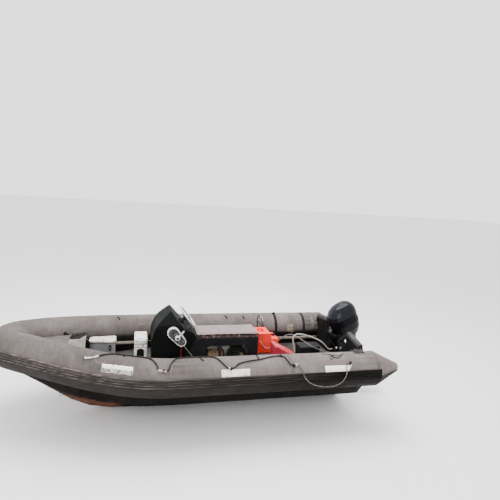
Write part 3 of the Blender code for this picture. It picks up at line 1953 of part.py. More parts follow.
def make_tanks():
    floor = deck_height + seat_gap
    front = tank_back_x - tank_length
    shoulder = floor + tank_shoulder_height
    top = floor + tank_height
    near = tank_near_y
    outline = rounded(
        [
            (front, floor),
            (tank_back_x, floor),
            (tank_back_x, shoulder),
            (tank_back_x - tank_shoulder_length, shoulder),
            (tank_back_x - tank_shoulder_length - tank_round, top),
            (front, top),
        ],
        tank_round,
        arc_steps,
    )
    tank = side_slab("fuel_tank", outline, near, near + tank_width)
    soften(tank, tank_edge_round, 2)
    tank = piece("fuel_tank", tank, red_plastic)
    grip_x = front + (tank_length - tank_shoulder_length) / 2
    grip_y = near + tank_width / 2
    pocket = block(
        "handle_pocket",
        (grip_x - tank_pocket_length / 2, grip_y - tank_handle_length / 2, top - tank_handle_depth),
        (grip_x + tank_pocket_length / 2, grip_y + tank_handle_length / 2, top + overrun),
    )
    bar_radius = tank_handle_width / 2 * handle_bar_share
    bar = drum(
        "handle_bar",
        bar_radius,
        tank_handle_length + 2 * tank_edge_round,
        aimed(
            (
                grip_x,
                grip_y - tank_handle_length / 2 - tank_edge_round,
                top - bar_radius - tank_edge_round / 2,
            ),
            (0, 1, 0),
        ),
        round_sides,
    )
    neck_place = Vector(
        (tank_back_x - fuel_neck_inset, near + tank_width / 2, shoulder)
    )
    neck = drum(
        "neck",
        fuel_neck_radius,
        fuel_neck_height + tank_edge_round,
        Matrix.Translation(neck_place - Vector((0, 0, tank_edge_round))),
        round_sides,
    )
    barb = drum(
        "hose_barb",
        fuel_barb_radius,
        fuel_barb_length + tank_edge_round,
        aimed((tank_back_x - tank_edge_round, neck_place.y, floor + fuel_barb_height), (1, 0, 0)),
        small_sides,
    )
    cut(tank, pocket)
    fuse(tank, bar, neck, barb)

    axis = bpy.data.objects.new("fuel_cap_axis", None)
    axis.location = neck_place
    boat.objects.link(axis)
    inner = [
        (x, y) for x, y in circle((0, 0), fuel_neck_radius + running_gap, 2 * fuel_cap_lobes)
    ]
    under = fuel_neck_height + seat_gap
    crown = fuel_cap_radius * cap_crown_radius_share
    cap = loft(
        "fuel_cap",
        [
            level(inner, under),
            level(inner, 2 * seat_gap),
            scalloped(fuel_cap_radius, fuel_cap_lobe_depth, fuel_cap_lobes, 2 * seat_gap),
            scalloped(
                fuel_cap_radius,
                fuel_cap_lobe_depth,
                fuel_cap_lobes,
                fuel_cap_height - fuel_cap_lobe_depth,
            ),
            scalloped(crown, 0, fuel_cap_lobes, fuel_cap_height),
        ],
    )
    piece("fuel_cap", cap, black_plastic, axis)

    half = wedge_width / 2
    outline = rounded(
        [
            (wedge_front_x, floor),
            (wedge_front_x + wedge_length, floor),
            (wedge_front_x + wedge_length, floor + wedge_low),
            (wedge_front_x + wedge_round * 2, floor + wedge_high),
            (wedge_front_x, floor + wedge_high),
        ],
        wedge_round,
        arc_steps,
    )
    wedge = side_slab("wedge_tank", outline, wedge_centre_y - half, wedge_centre_y + half)
    soften(wedge, tank_edge_round, 2)
    piece("wedge_tank", wedge, faded_red)


# Battery box with its lid
def make_battery():
    floor = deck_height + seat_gap
    centre = (battery_front_x + battery_length / 2, battery_centre_y)

    def ring(inset):
        return rounded_rectangle(
            battery_length - 2 * inset, battery_width - 2 * inset, battery_corner - inset
        )

    top = floor + battery_height
    box = loft(
        "battery_box",
        [
            level(ring(battery_wall), floor + battery_wall, centre),
            level(ring(battery_wall), top, centre),
            level(ring(0), top, centre),
            level(ring(0), floor, centre),
        ],
    )
    piece("battery_box", box, black_plastic)
    rim = battery_lid_wall + seat_gap
    over = top + seat_gap + battery_lid_wall + battery_lid_rise
    lid = loft(
        "battery_lid",
        [
            level(ring(battery_lid_rise), over - battery_lid_wall, centre),
            level(ring(-seat_gap), top + seat_gap, centre),
            level(ring(-seat_gap), over - battery_lid_height, centre),
            level(ring(-rim), over - battery_lid_height, centre),
            level(ring(-rim), top + seat_gap + battery_lid_wall, centre),
            level(ring(battery_lid_rise - rim), over, centre),
        ],
    )
    piece("battery_lid", lid, black_plastic)


# Webbing straps bonded over the far tube
def make_straps():
    for name, x in (("strap_middle", strap_middle_x), ("strap_aft", strap_aft_x)):
        rings = []
        for end in (x - strap_width / 2, x + strap_width / 2):
            station = other_side(straight_station(end))
            steps = range(strap_high_step, strap_low_step + 1)
            seat = tube_radius + seat_gap
            inner = [on_tube(station, seat, tube_angle(k)) for k in steps]
            outer = [on_tube(station, seat + strap_thickness, tube_angle(k)) for k in steps]
            rings.append(inner + outer[::-1])
        piece(name, loft(name, rings), webbing)


# Outboard motor: the clamp stays on the transom, the rest tilts, and most of it steers
pin_x = transom_back_x - tilt_pin_inset
tilt_axis = bpy.data.objects.new("tilt_axis", None)
tilt_axis.location = (pin_x, 0, tilt_pin_height)
tilt_axis.rotation_euler = (0, -tilt_rest, 0)
boat.objects.link(tilt_axis)
steer_axis = bpy.data.objects.new("steer_axis", None)
steer_axis.location = (kingpin_aft, 0, 0)
steer_axis.parent = tilt_axis
boat.objects.link(steer_axis)
drive_axis = bpy.data.objects.new("drive_axis", None)
drive_axis.location = (leg_foot_aft, 0, 0)
drive_axis.parent = steer_axis
boat.objects.link(drive_axis)
propeller_axis = bpy.data.objects.new("propeller_axis", None)
propeller_axis.location = (torpedo_tail_aft, 0, propeller_axis_drop)
propeller_axis.parent = steer_axis
boat.objects.link(propeller_axis)
across = Vector((0, 1, 0))
aft = Vector((1, 0, 0))


def make_clamp():
    """Two side plates that hook over the transom, joined by a web ahead of it."""
    front = transom_front_x - seat_gap
    back = transom_back_x + seat_gap
    seat = motor_well_height + seat_gap
    jaw_low = motor_well_height - clamp_jaw_drop
    tail_low = motor_well_height - clamp_tail_drop
    crown = arc((pin_x, tilt_pin_height), clamp_crown, 0, pi, 2 * arc_steps)
    outline = [
        *crown,
        (front - clamp_jaw_reach, seat + clamp_shoulder),
        (front - clamp_jaw_reach, jaw_low),
        (front, jaw_low),
        (front, seat),
        (back, seat),
        (back, tail_low),
        (back + clamp_tail_width, tail_low),
        (back + clamp_tail_width, seat + clamp_shoulder),
    ]
    inner = clamp_plate_inner
    outer = inner + clamp_plate_thickness
    plate = side_slab("motor_clamp", outline, inner, outer)
    soften(plate, clamp_edge_round, 1)
    clamp = piece("motor_clamp", plate, motor_black)
    web_top = motor_well_height - clamp_web_top
    web_bottom = motor_well_height - clamp_web_bottom
    web = block(
        "web",
        (back + clamp_web_setback, -inner - clamp_plate_thickness / 2, web_bottom),
        (back + clamp_web_setback + clamp_web_thickness, inner + clamp_plate_thickness / 2, web_top),
    )
    reach = outer + overrun
    hole = drum(
        "pin_hole",
        tilt_pin_radius + pin_gap,
        2 * reach,
        aimed((pin_x, -reach, tilt_pin_height), across),
        pin_sides,
    )
    fuse(clamp, web, mirrored(plate))
    cut(clamp, hole)


def make_swivel():
    tube = drum(
        "tilt_tube",
        tilt_pin_radius,
        2 * tilt_pin_half_length,
        aimed((pin_x, -tilt_pin_half_length, tilt_pin_height), across),
        pin_sides,
    )
    tube = piece("tilt_tube", tube, galvanised)
    for side in (-1, 1):
        start = clamp_plate_inner + clamp_plate_thickness + seat_gap
        nut = drum(
            "tilt_nut",
            tilt_nut_radius,
            tilt_nut_thickness,
            aimed((pin_x, side * start, tilt_pin_height), across * side),
            nut_sides,
        )
        fuse(tube, nut)

    hub = drum(
        "swivel_bracket",
        swivel_hub_radius,
        2 * swivel_half_width,
        aimed((0, -swivel_half_width, 0), across),
        round_sides,
    )
    bracket = piece("swivel_bracket", hub, motor_black, tilt_axis)
    post = drum(
        "swivel_post",
        swivel_tube_radius,
        swivel_top + swivel_bottom,
        Matrix.Translation((kingpin_aft, 0, -swivel_bottom)),
        round_sides,
    )
    neck = outline_mesh(
        "swivel_neck",
        [
            (0, -swivel_hub_radius),
            (0, swivel_hub_radius * neck_rise_share),
            (kingpin_aft, swivel_top - running_gap),
            (kingpin_aft, -swivel_bottom * neck_fall_share),
            (kingpin_aft - swivel_tube_radius * neck_rise_share, -swivel_bottom * neck_fall_share),
        ],
        2 * swivel_hub_radius,
    )
    neck.transform(side_view)
    tilt_bore = drum(
        "tilt_bore",
        tilt_pin_radius + pin_gap,
        2 * (swivel_half_width + overrun),
        aimed((0, -swivel_half_width - overrun, 0), across),
        pin_sides,
    )
    kingpin_bore = drum(
        "kingpin_bore",
        kingpin_radius + pin_gap,
        swivel_top + swivel_bottom + 2 * overrun,
        Matrix.Translation((kingpin_aft, 0, -swivel_bottom - overrun)),
        kingpin_sides,
    )
    fuse(bracket, neck, post)
    cut(bracket, tilt_bore, kingpin_bore)


def leg_ring(height, aft_offset, half_length, half_width):
    """A section of the leg: round ahead, drawn to a finer edge behind."""
    ring = []
    for k in range(leg_sides):
        turn = tau * (k + 1 / 2) / leg_sides
        narrowing = (1 - leg_tail_share) * max(0, cos(turn))
        width = half_width * sin(turn) * (1 - narrowing)
        ring.append((aft_offset + half_length * cos(turn), width, height))
    return ring


def make_midsection():
    top = tray_bottom - seat_gap
    stages = (
        (leg_split + seat_gap, leg_foot_aft, leg_foot_half_length, leg_foot_half_width),
        (leg_knee_height, leg_foot_aft, leg_foot_half_length, leg_foot_half_width),
        (leg_waist_height, leg_waist_aft, leg_waist_half_length, leg_waist_half_width),
        (leg_neck_height, leg_neck_aft, leg_neck_half_length, leg_neck_half_width),
        (leg_collar_height, leg_top_aft, leg_top_half_length, leg_top_half_width),
        (top, leg_top_aft, leg_top_half_length, leg_top_half_width),
    )
    leg = loft("midsection", [leg_ring(*stage) for stage in stages])
    leg = piece("midsection", leg, motor_black, steer_axis)
    upper = swivel_top + running_gap
    lower = -swivel_bottom - running_gap
    half = yoke_half_width

    def yoke(name, low, high, reach):
        nose = arc((0, 0), half, pi / 2, 3 * pi / 2, 2 * arc_steps)
        return flat_slab(name, [*nose, (reach, -half), (reach, half)], low, high)

    top_yoke = yoke("upper_yoke", upper, upper + yoke_thickness, leg_top_aft)
    foot_reach = leg_waist_aft
    low_yoke = yoke("lower_yoke", lower - yoke_thickness, lower, foot_reach)
    narrow = leg_waist_half_width / half
    low_yoke.transform(Matrix.Diagonal((1, narrow, 1, 1)))
    kingpin = drum(
        "kingpin",
        kingpin_radius,
        upper - lower + yoke_thickness,
        Matrix.Translation((0, 0, lower - yoke_thickness / 2)),
        kingpin_sides,
    )
    arm_half = steer_arm_width / 2
    arm_tip = arc((-steer_arm_reach + arm_half, 0), arm_half, pi / 2, 3 * pi / 2, arc_steps * 2)
    arm = flat_slab(
        "steering_arm",
        [*arm_tip, (0, -arm_half), (0, arm_half)],
        upper,
        upper + steer_arm_thickness,
        [circle((-steer_arm_reach + arm_half, 0), arm_half / 2, round_sides // 2)],
    )
    bore = drum(
        "leg_bore",
        drive_bore_radius,
        top - leg_split + 2 * overrun,
        Matrix.Translation((leg_foot_aft, 0, leg_split - overrun)),
        round_sides,
    )
    fuse(leg, top_yoke, low_yoke, kingpin, arm)
    cut(leg, bore)


def foil(centre, half_length, half_width, height):
    """A thin streamlined section, drawn along X."""
    ring = []
    for k in range(foil_sides):
        turn = tau * (k + 1 / 2) / foil_sides
        ring.append((centre + half_length * cos(turn), half_width * sin(turn), height))
    return ring


def make_gearcase():
    high = leg_split
    axis_height = propeller_axis_drop
    strut = loft(
        "gearcase",
        [
            leg_ring(high, leg_foot_aft, leg_foot_half_length, leg_foot_half_width),
            leg_ring(plate_height, leg_foot_aft, leg_foot_half_length, leg_foot_half_width),
            leg_ring(
                axis_height,
                leg_foot_aft,
                leg_foot_half_length * strut_length_share,
                leg_foot_half_width * strut_width_share,
            ),
        ],
    )
    case = piece("gearcase", strut, motor_black, steer_axis)
    nose = torpedo_tail_aft - torpedo_body_length - torpedo_nose_length
    profile = [(0, torpedo_tail_aft)]
    profile.append((torpedo_radius * torpedo_tail_share, torpedo_tail_aft))
    profile.append((torpedo_radius, torpedo_tail_aft - torpedo_body_length / 2))
    for k in range(torpedo_nose_steps):
        turn = pi / 2 * k / torpedo_nose_steps
        profile.append(
            (
                torpedo_radius * cos(turn) ** torpedo_nose_share,
                torpedo_tail_aft - torpedo_body_length - torpedo_nose_length * sin(turn),
            )
        )
    profile.append((0, nose))
    torpedo = turned("torpedo", profile, aimed((0, 0, axis_height), aft), round_sides)
    reach = plate_length - plate_half_width
    tail = arc((plate_front_aft + reach, 0), plate_half_width, -pi / 2, pi / 2, 3 * arc_steps)
    plate = flat_slab(
        "ventilation_plate",
        [
            (plate_front_aft, plate_half_width * plate_nose_share),
            (plate_front_aft, -plate_half_width * plate_nose_share),
            (plate_front_aft + plate_half_width, -plate_half_width),
            *tail,
            (plate_front_aft + plate_half_width, plate_half_width),
        ],
        plate_height - plate_thickness,
        plate_height,
    )
    top_centre = torpedo_tail_aft - torpedo_body_length
    foot_centre = top_centre + skeg_rake
    skeg = loft(
        "skeg",
        [
            foil(top_centre, skeg_top_chord / 2, skeg_half_thickness, axis_height),
            foil(
                foot_centre,
                skeg_foot_chord / 2,
                skeg_half_thickness * skeg_foot_share,
                skeg_bottom,
            ),
        ],
    )
    drive_bore = drum(
        "drive_bore",
        drive_bore_radius,
        high - drive_shaft_foot + seat_gap + running_gap + overrun,
        Matrix.Translation((leg_foot_aft, 0, drive_shaft_foot - running_gap - seat_gap)),
        round_sides,
    )
    shaft_bore = drum(
        "shaft_bore",
        propeller_shaft_radius + pin_gap,
        propeller_shaft_length + running_gap + overrun,
        aimed((torpedo_tail_aft - propeller_shaft_length - running_gap, 0, axis_height), aft),
        pin_sides,
    )
    fuse(case, torpedo, plate, skeg)
    cut(case, drive_bore, shaft_bore)


# Propeller: a hub with pitched blades, its shaft ahead and its nut behind
def blade_mesh():
    rings = []
    for reach_share, chord_share, rake_share in blade_shares:
        radius = propeller_hub_radius + (propeller_radius - propeller_hub_radius) * reach_share
        radius = max(radius, propeller_hub_radius * blade_foot_share)
        chord = blade_chord * chord_share
        thick = blade_root_thickness + (blade_tip_thickness - blade_root_thickness) * max(
            reach_share, 0
        )
        pitch_turn = atan2(propeller_pitch, tau * radius)
        ring = []
        for k in range(blade_sides):
            turn = tau * (k + 1 / 2) / blade_sides
            along = chord / 2 * cos(turn)
            off = thick / 2 * sin(turn)
            axial = along * sin(pitch_turn) + off * cos(pitch_turn)
            sideways = along * cos(pitch_turn) - off * sin(pitch_turn)
            spin = sideways / radius
            ring.append(
                (
                    radius * cos(spin),
                    radius * sin(spin),
                    propeller_hub_length / 2 + axial + blade_rake * rake_share,
                )
            )
        rings.append(ring)
    return loft("blade", rings)


def make_propeller():
    hub = propeller_hub_length
    start = running_gap
    profile = [
        (0, start + hub + propeller_nut_length),
        (propeller_nut_radius * nut_crown_share, start + hub + propeller_nut_length),
        (propeller_nut_radius, start + hub + propeller_nut_length * nut_crown_share),
        (propeller_nut_radius, start + hub),
        (propeller_hub_radius * hub_tail_share, start + hub),
        (propeller_hub_radius, start),
        (propeller_shaft_radius, start),
        (propeller_shaft_radius, -propeller_shaft_length),
        (0, -propeller_shaft_length),
    ]
    body = turned("propeller", profile, aimed((0, 0, 0), aft), pin_sides)
    propeller = piece("propeller", body, motor_black, propeller_axis)
    frame = aimed((start, 0, 0), aft)
    for k in range(propeller_blades):
        blade = blade_mesh()
        blade.transform(frame @ Matrix.Rotation(tau * k / propeller_blades, 4, "Z"))
        fuse(propeller, blade)


# Covers: a tray round the engine's foot, the cowl over it and the hood on top
def cover_ring(height, half_length, half_width, inset=0.0, shift=0.0):
    return lobed_ring(
        half_length - inset,
        half_width - inset,
        cowl_centre_aft + shift,
        height,
        cowl_sides,
        cowl_squareness,
    )


def make_covers():
    wall = cowl_wall
    floor = tray_bottom
    rim = tray_top
    tray = loft(
        "lower_cowl",
        [
            cover_ring(floor + wall, tray_foot_half_length, tray_foot_half_width, wall),
            cover_ring(rim, tray_half_length, tray_half_width, wall),
            cover_ring(rim, tray_half_length, tray_half_width),
            cover_ring(floor, tray_foot_half_length, tray_foot_half_width),
        ],
    )
    tray = piece("lower_cowl", tray, motor_black, steer_axis)
    hole = drum(
        "floor_hole",
        drive_bore_radius,
        wall + 2 * overrun,
        Matrix.Translation((leg_foot_aft, 0, floor - overrun)),
        round_sides,
    )
    cut(tray, hole)

    low = rim + seat_gap
    seam = cowl_seam_height
    shelf = seam - cowl_shelf
    stages = (
        (low, tray_half_length, tray_half_width),
        (cowl_belly_height, cowl_half_length, cowl_half_width),
        (shelf, cowl_seam_half_length, cowl_seam_half_width),
    )
    groove = (cowl_seam_half_length - seam_recess, cowl_seam_half_width - seam_recess)
    lip = seam - seat_gap - seam_recess
    inner = [cover_ring(*stage, wall) for stage in stages[:2]]
    inner.append(cover_ring(shelf - wall, cowl_seam_half_length, cowl_seam_half_width, wall))
    outer = [cover_ring(*stage) for stage in stages]
    outer.append(cover_ring(shelf, *groove))
    outer.append(cover_ring(lip, *groove))
    outer.append(cover_ring(lip, hood_half_length, hood_half_width))
    outer.append(cover_ring(seam - seat_gap, hood_half_length, hood_half_width))
    cowl = loft("upper_cowl", inner[::-1] + outer)
    piece("upper_cowl", cowl, motor_black, steer_axis)

    rise = hood_height - seam
    inner, outer = [], []
    for height_share, length_share, width_share, shift_share in hood_shares:
        height = seam + rise * height_share
        length = hood_half_length * length_share
        width = hood_half_width * width_share
        shift = hood_back_shift * shift_share
        outer.append(cover_ring(height, length, width, 0, shift))
        low_height = seam + (rise - wall) * height_share
        inner.append(cover_ring(low_height, length, width, wall, shift))
    hood = loft("hood", inner[::-1] + outer)
    piece("hood", hood, motor_navy, steer_axis)


def make_engine():
    floor = tray_bottom + cowl_wall + seat_gap
    half_length = powerhead_length / 2
    half_width = powerhead_width / 2
    centre = leg_foot_aft
    engine = block(
        "powerhead",
        (centre - half_length, -half_width, floor + powerhead_foot),
        (centre + half_length, half_width, powerhead_top),
    )
    soften(engine, powerhead_round, 2)
    engine = piece("powerhead", engine, motor_metal, steer_axis)
    foot = drum(
        "powerhead_foot",
        powerhead_foot_radius,
        powerhead_foot + powerhead_round,
        Matrix.Translation((centre, 0, floor)),
        round_sides,
    )
    bank = block(
        "cylinder_bank",
        (
            centre + half_length - powerhead_round,
            -cylinder_bank_width / 2,
            tray_top,
        ),
        (
            centre + half_length + cylinder_bank_length,
            cylinder_bank_width / 2,
            powerhead_top - powerhead_round,
        ),
    )
    soften(bank, powerhead_round, 1)
    bore = drum(
        "crank_bore",
        drive_shaft_radius + pin_gap,
        powerhead_top - tray_bottom + 2 * overrun,
        Matrix.Translation((centre, 0, tray_bottom - overrun)),
        pin_sides,
    )
    fuse(engine, foot, bank)
    cut(engine, bore)

    wheel = powerhead_top + running_gap
    profile = [
        (0, wheel + flywheel_thickness),
        (flywheel_radius, wheel + flywheel_thickness),
        (flywheel_radius, wheel),
        (drive_shaft_radius, wheel),
        (drive_shaft_radius, drive_shaft_foot),
        (0, drive_shaft_foot),
    ]
    shaft = turned("drive_shaft", profile, steps=pin_sides)
    shaft = piece("drive_shaft", shaft, galvanised, drive_axis)
    for k in range(flywheel_holes):
        turn = tau * k / flywheel_holes
        ring = flywheel_radius * flywheel_hole_place_share
        hole = drum(
            "flywheel_hole",
            flywheel_hole_radius,
            flywheel_thickness + 2 * overrun,
            Matrix.Translation((ring * cos(turn), ring * sin(turn), wheel - overrun)),
            round_sides // 2,
        )
        cut(shaft, hole)


# Ropes, hoses and cables
def tube_station(x):
    """The port tube's place at this distance along the boat."""
    if x >= bow_start_x:
        return straight_station(x)
    for near, far in zip(bow, bow[1:]):
        if far.place.x <= x:
            share = (near.place.x - x) / (near.place.x - far.place.x)
            outward = near.outward.lerp(far.outward, share)
            up = near.up.lerp(far.up, share)
            return Station(near.place.lerp(far.place, share), outward, up, 1.0, 0.0)


def make_cords():
    lift = tube_radius + lifeline_radius + lifeline_lift
    along = smooth_route([(x, angle, 0) for x, angle in lifeline_spots], lifeline_spacing)
    lifeline = [on_tube(tube_station(spot.x), lift, spot.y) for spot in along]
    rope("lifeline_port", smooth_route(lifeline, lifeline_spacing), lifeline_radius, rope_black)
    for name, route, radius, mat in (
        ("slack_line", slack_route, slack_line_radius, rope_grey),
        ("throttle_cable", cable_route, control_cable_radius, rope_grey),
        ("kill_cord", kill_cord_route, kill_cord_radius, rope_red),
        ("fuel_hose", fuel_hose_route, fuel_hose_radius, rope_grey),
        ("rigging_hose", rigging_hose_route, rigging_hose_radius, white_plastic),
    ):
        rope(name, smooth_route(route, cord_spacing_share * 2 * radius), radius, mat)


def make_anchors():
    """A rubber patch on one flat of the tube, with a loop over the line."""
    turn = tube_angle(anchor_step + 1 / 2)
    flat = cos(tube_angle(1 / 2))
    bore = lifeline_radius + anchor_play
    centre = lifeline_radius + lifeline_lift + tube_radius * (1 - flat) - anchor_gap
    half = anchor_width / 2
    arch = bore + anchor_wall
    for number, x in enumerate(anchor_places, 1):
        station = tube_station(x)
        radial = station.outward * cos(turn) + station.up * sin(turn)
        around = station.up * cos(turn) - station.outward * sin(turn)
        back = around.cross(radial)
        place = station.place + radial * (tube_radius * flat + anchor_gap)
        frame = Matrix.Translation(place) @ Matrix((around, radial, back)).transposed().to_4x4()
        outline = [
            (-half, 0),
            (half, 0),
            (half, anchor_thickness),
            (arch, anchor_thickness),
            *arc((0, centre), arch, 0, pi, 2 * arc_steps),
            (-arch, anchor_thickness),
            (-half, anchor_thickness),
        ]
        name = f"lifeline_anchor_{number}"
        body = outline_mesh(name, outline, anchor_length)
        body.transform(frame)
        anchor = piece(name, body, strake_rubber)
        reach = anchor_length / 2 + overrun
        hole_frame = frame @ Matrix.Translation((0, centre, -reach))
        hole = drum("line_hole", bore, 2 * reach, hole_frame, round_sides)
        cut(anchor, hole)


make_tubes()
make_strakes()
make_hull()
make_deck()
make_transom()
make_bow_eye()
make_dodger()
make_locker()
make_front_step()
make_console()
make_steering()
make_throttle()
make_seat()
make_bundles()
make_tanks()
make_battery()
make_straps()
make_clamp()
make_swivel()
make_midsection()
make_gearcase()
make_propeller()
make_covers()
make_engine()
make_anchors()
make_cords()
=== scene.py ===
"""Dresses the rigid inflatable boat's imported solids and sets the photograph's view."""

import bpy
import bmesh
from math import cos, pi, radians, sin, sqrt, tau
from mathutils import Matrix, Vector, noise
from mathutils.bvhtree import BVHTree


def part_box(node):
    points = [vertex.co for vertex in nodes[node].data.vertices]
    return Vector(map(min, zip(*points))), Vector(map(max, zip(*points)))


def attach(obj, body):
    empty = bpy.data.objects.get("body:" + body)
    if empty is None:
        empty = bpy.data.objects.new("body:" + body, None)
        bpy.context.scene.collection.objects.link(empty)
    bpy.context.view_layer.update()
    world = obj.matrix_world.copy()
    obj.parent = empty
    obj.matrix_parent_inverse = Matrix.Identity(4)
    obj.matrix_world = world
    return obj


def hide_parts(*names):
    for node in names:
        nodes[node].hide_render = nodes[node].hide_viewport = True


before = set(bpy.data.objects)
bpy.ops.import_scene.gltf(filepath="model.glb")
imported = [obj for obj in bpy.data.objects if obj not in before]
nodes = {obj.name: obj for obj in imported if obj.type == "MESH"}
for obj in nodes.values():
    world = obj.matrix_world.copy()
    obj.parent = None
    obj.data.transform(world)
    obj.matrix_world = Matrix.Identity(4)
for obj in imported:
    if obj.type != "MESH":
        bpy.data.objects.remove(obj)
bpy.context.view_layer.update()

# Camera, from the photograph's own perspective
eye = Vector((-0.874, -5.734, 3.111))
yaw, pitch, roll, focal = radians(15.26), radians(8.29), radians(3.90), 420.0
look = Vector((sin(yaw) * cos(pitch), cos(yaw) * cos(pitch), -sin(pitch)))
level_right = Vector((cos(yaw), -sin(yaw), 0))
level_up = level_right.cross(look)
right = cos(roll) * level_right + sin(roll) * level_up
up = -sin(roll) * level_right + cos(roll) * level_up
camera = bpy.data.objects.new("camera", bpy.data.cameras.new("camera"))
camera.data.lens = focal / 500 * 36
camera.data.sensor_width = 36
camera.data.clip_end = 200
turn = Matrix((right, up, -look)).transposed().to_4x4()
camera.matrix_world = Matrix.Translation(eye) @ turn
bpy.context.scene.collection.objects.link(camera)
bpy.context.scene.camera = camera


def ray(px, py):
    return (look + right * ((px - 250) / focal) - up * ((py - 250) / focal)).normalized()


def solid_tree(*names):
    bm = bmesh.new()
    for name in names:
        bm.from_mesh(nodes[name].data)
    return BVHTree.FromBMesh(bm)


# Materials: each is a small node tree in the object's own space
def tree(name, metallic=0.0, coat=0.0, sheen=0.0, shine=0.2):
    made = bpy.data.materials.new(name)
    made.use_nodes = True
    shader = made.node_tree.nodes["Principled BSDF"]
    shader.inputs["Specular IOR Level"].default_value = shine
    shader.inputs["Metallic"].default_value = metallic
    shader.inputs["Coat Weight"].default_value = coat
    shader.inputs["Coat Roughness"].default_value = 0.12
    shader.inputs["Sheen Weight"].default_value = sheen
    return made, made.node_tree, shader


def coordinates(nt, scale=(1, 1, 1)):
    where = nt.nodes.new("ShaderNodeTexCoord")
    mapping = nt.nodes.new("ShaderNodeMapping")
    mapping.inputs["Scale"].default_value = scale
    nt.links.new(where.outputs["Object"], mapping.inputs["Vector"])
    return mapping.outputs["Vector"]


def speckle(nt, where, scale, detail=5.0, rough=0.55, twist=0.0):
    made = nt.nodes.new("ShaderNodeTexNoise")
    made.inputs["Scale"].default_value = scale
    made.inputs["Detail"].default_value = detail
    made.inputs["Roughness"].default_value = rough
    made.inputs["Distortion"].default_value = twist
    nt.links.new(where, made.inputs["Vector"])
    return made.outputs["Fac"]


def ramp(nt, value, stops):
    made = nt.nodes.new("ShaderNodeValToRGB")
    marks = made.color_ramp.elements
    while len(marks) < len(stops):
        marks.new(0.5)
    for mark, (place, colour) in zip(marks, stops):
        mark.position = place
        mark.color = (*colour, 1) if len(colour) == 3 else colour
    nt.links.new(value, made.inputs["Fac"])
    return made.outputs["Color"]


def grey(nt, value, low, high, low_at=0.0, high_at=1.0):
    return ramp(nt, value, [(low_at, (low,) * 3), (high_at, (high,) * 3)])


def put(nt, value, socket):
    if isinstance(value, bpy.types.NodeSocket):
        nt.links.new(value, socket)
    elif isinstance(value, tuple):
        socket.default_value = (*value, 1)
    else:
        socket.default_value = value


def mix(nt, share, a, b, mode="MIX"):
    made = nt.nodes.new("ShaderNodeMix")
    made.data_type = "RGBA"
    made.blend_type = mode
    put(nt, share, made.inputs["Factor"])
    put(nt, a, made.inputs[6])
    put(nt, b, made.inputs[7])
    return made.outputs[2]


def maths(nt, what, a, b=0.0):
    made = nt.nodes.new("ShaderNodeMath")
    made.operation = what
    put(nt, a, made.inputs[0])
    put(nt, b, made.inputs[1])
    return made.outputs[0]


def relief(nt, shader, height, strength, distance):
    made = nt.nodes.new("ShaderNodeBump")
    made.inputs["Strength"].default_value = strength
    made.inputs["Distance"].default_value = distance
    nt.links.new(height, made.inputs["Height"])
    nt.links.new(made.outputs["Normal"], shader.inputs["Normal"])


def surface(name, stops, rough, patch=4.0, fine=90.0, depth=0.0006, grain=0.2, **look_of):
    """Blotches between the stops' colours, a fine mottle, uneven gloss and a slight relief."""
    made, nt, shader = tree(name, **look_of)
    where = coordinates(nt)
    colour = ramp(nt, speckle(nt, where, patch, 8, 0.6, 0.3), stops)
    mottle = grey(nt, speckle(nt, where, fine, 3), 0.75, 1.2, 0.3, 0.7)
    colour = mix(nt, grain, colour, mottle, "MULTIPLY")
    nt.links.new(colour, shader.inputs["Base Color"])
    shine = grey(nt, speckle(nt, where, patch * 3, 6), rough[0], rough[1], 0.3, 0.7)
    nt.links.new(shine, shader.inputs["Roughness"])
    relief(nt, shader, speckle(nt, where, fine, 5), 0.5, depth)
    return made


def woven(name, dark, light, rough, threads, depth=0.0004, patch=12.0, **look_of):
    """Cloth: two crossed sets of threads, with worn blotches."""
    made, nt, shader = tree(name, **look_of)
    where = coordinates(nt)
    worn = ramp(nt, speckle(nt, where, patch, 6, 0.6, 0.5), [(0.3, dark), (0.7, light)])
    bands = []
    for direction in ("X", "Y", "Z"):
        wave = nt.nodes.new("ShaderNodeTexWave")
        wave.bands_direction = direction
        wave.inputs["Scale"].default_value = threads
        nt.links.new(where, wave.inputs["Vector"])
        bands.append(wave.outputs["Fac"])
    cross = maths(nt, "MULTIPLY", maths(nt, "ADD", bands[0], bands[1]), bands[2])
    shade = grey(nt, cross, 0.7, 1.15)
    nt.links.new(mix(nt, 0.6, worn, shade, "MULTIPLY"), shader.inputs["Base Color"])
    shader.inputs["Roughness"].default_value = rough
    relief(nt, shader, cross, 0.6, depth)
    return made


def painted_underside_shade(nt, split, where, foot=0.752, top=0.800):
    """Painted shade under the chambers: dark low down, and darker towards the stern."""
    low = maths(nt, "ADD", split.outputs["Z"], maths(nt, "MULTIPLY", speckle(nt, where, 3.5, 5), 0.05))
    low = maths(nt, "SUBTRACT", low, maths(nt, "MULTIPLY", maths(nt, "MINIMUM", split.outputs["X"], -0.6), -0.085))
    high = grey(nt, maths(nt, "SUBTRACT", low, foot - 0.02), 0.0, 1.0, 0.0, top - foot)
    aft = grey(nt, maths(nt, "MULTIPLY", maths(nt, "ADD", split.outputs["X"], 2.6), 0.2), 0.30, 0.050, 0.0, 0.8)
    return mix(nt, high, aft, (1.0, 1.0, 1.0))


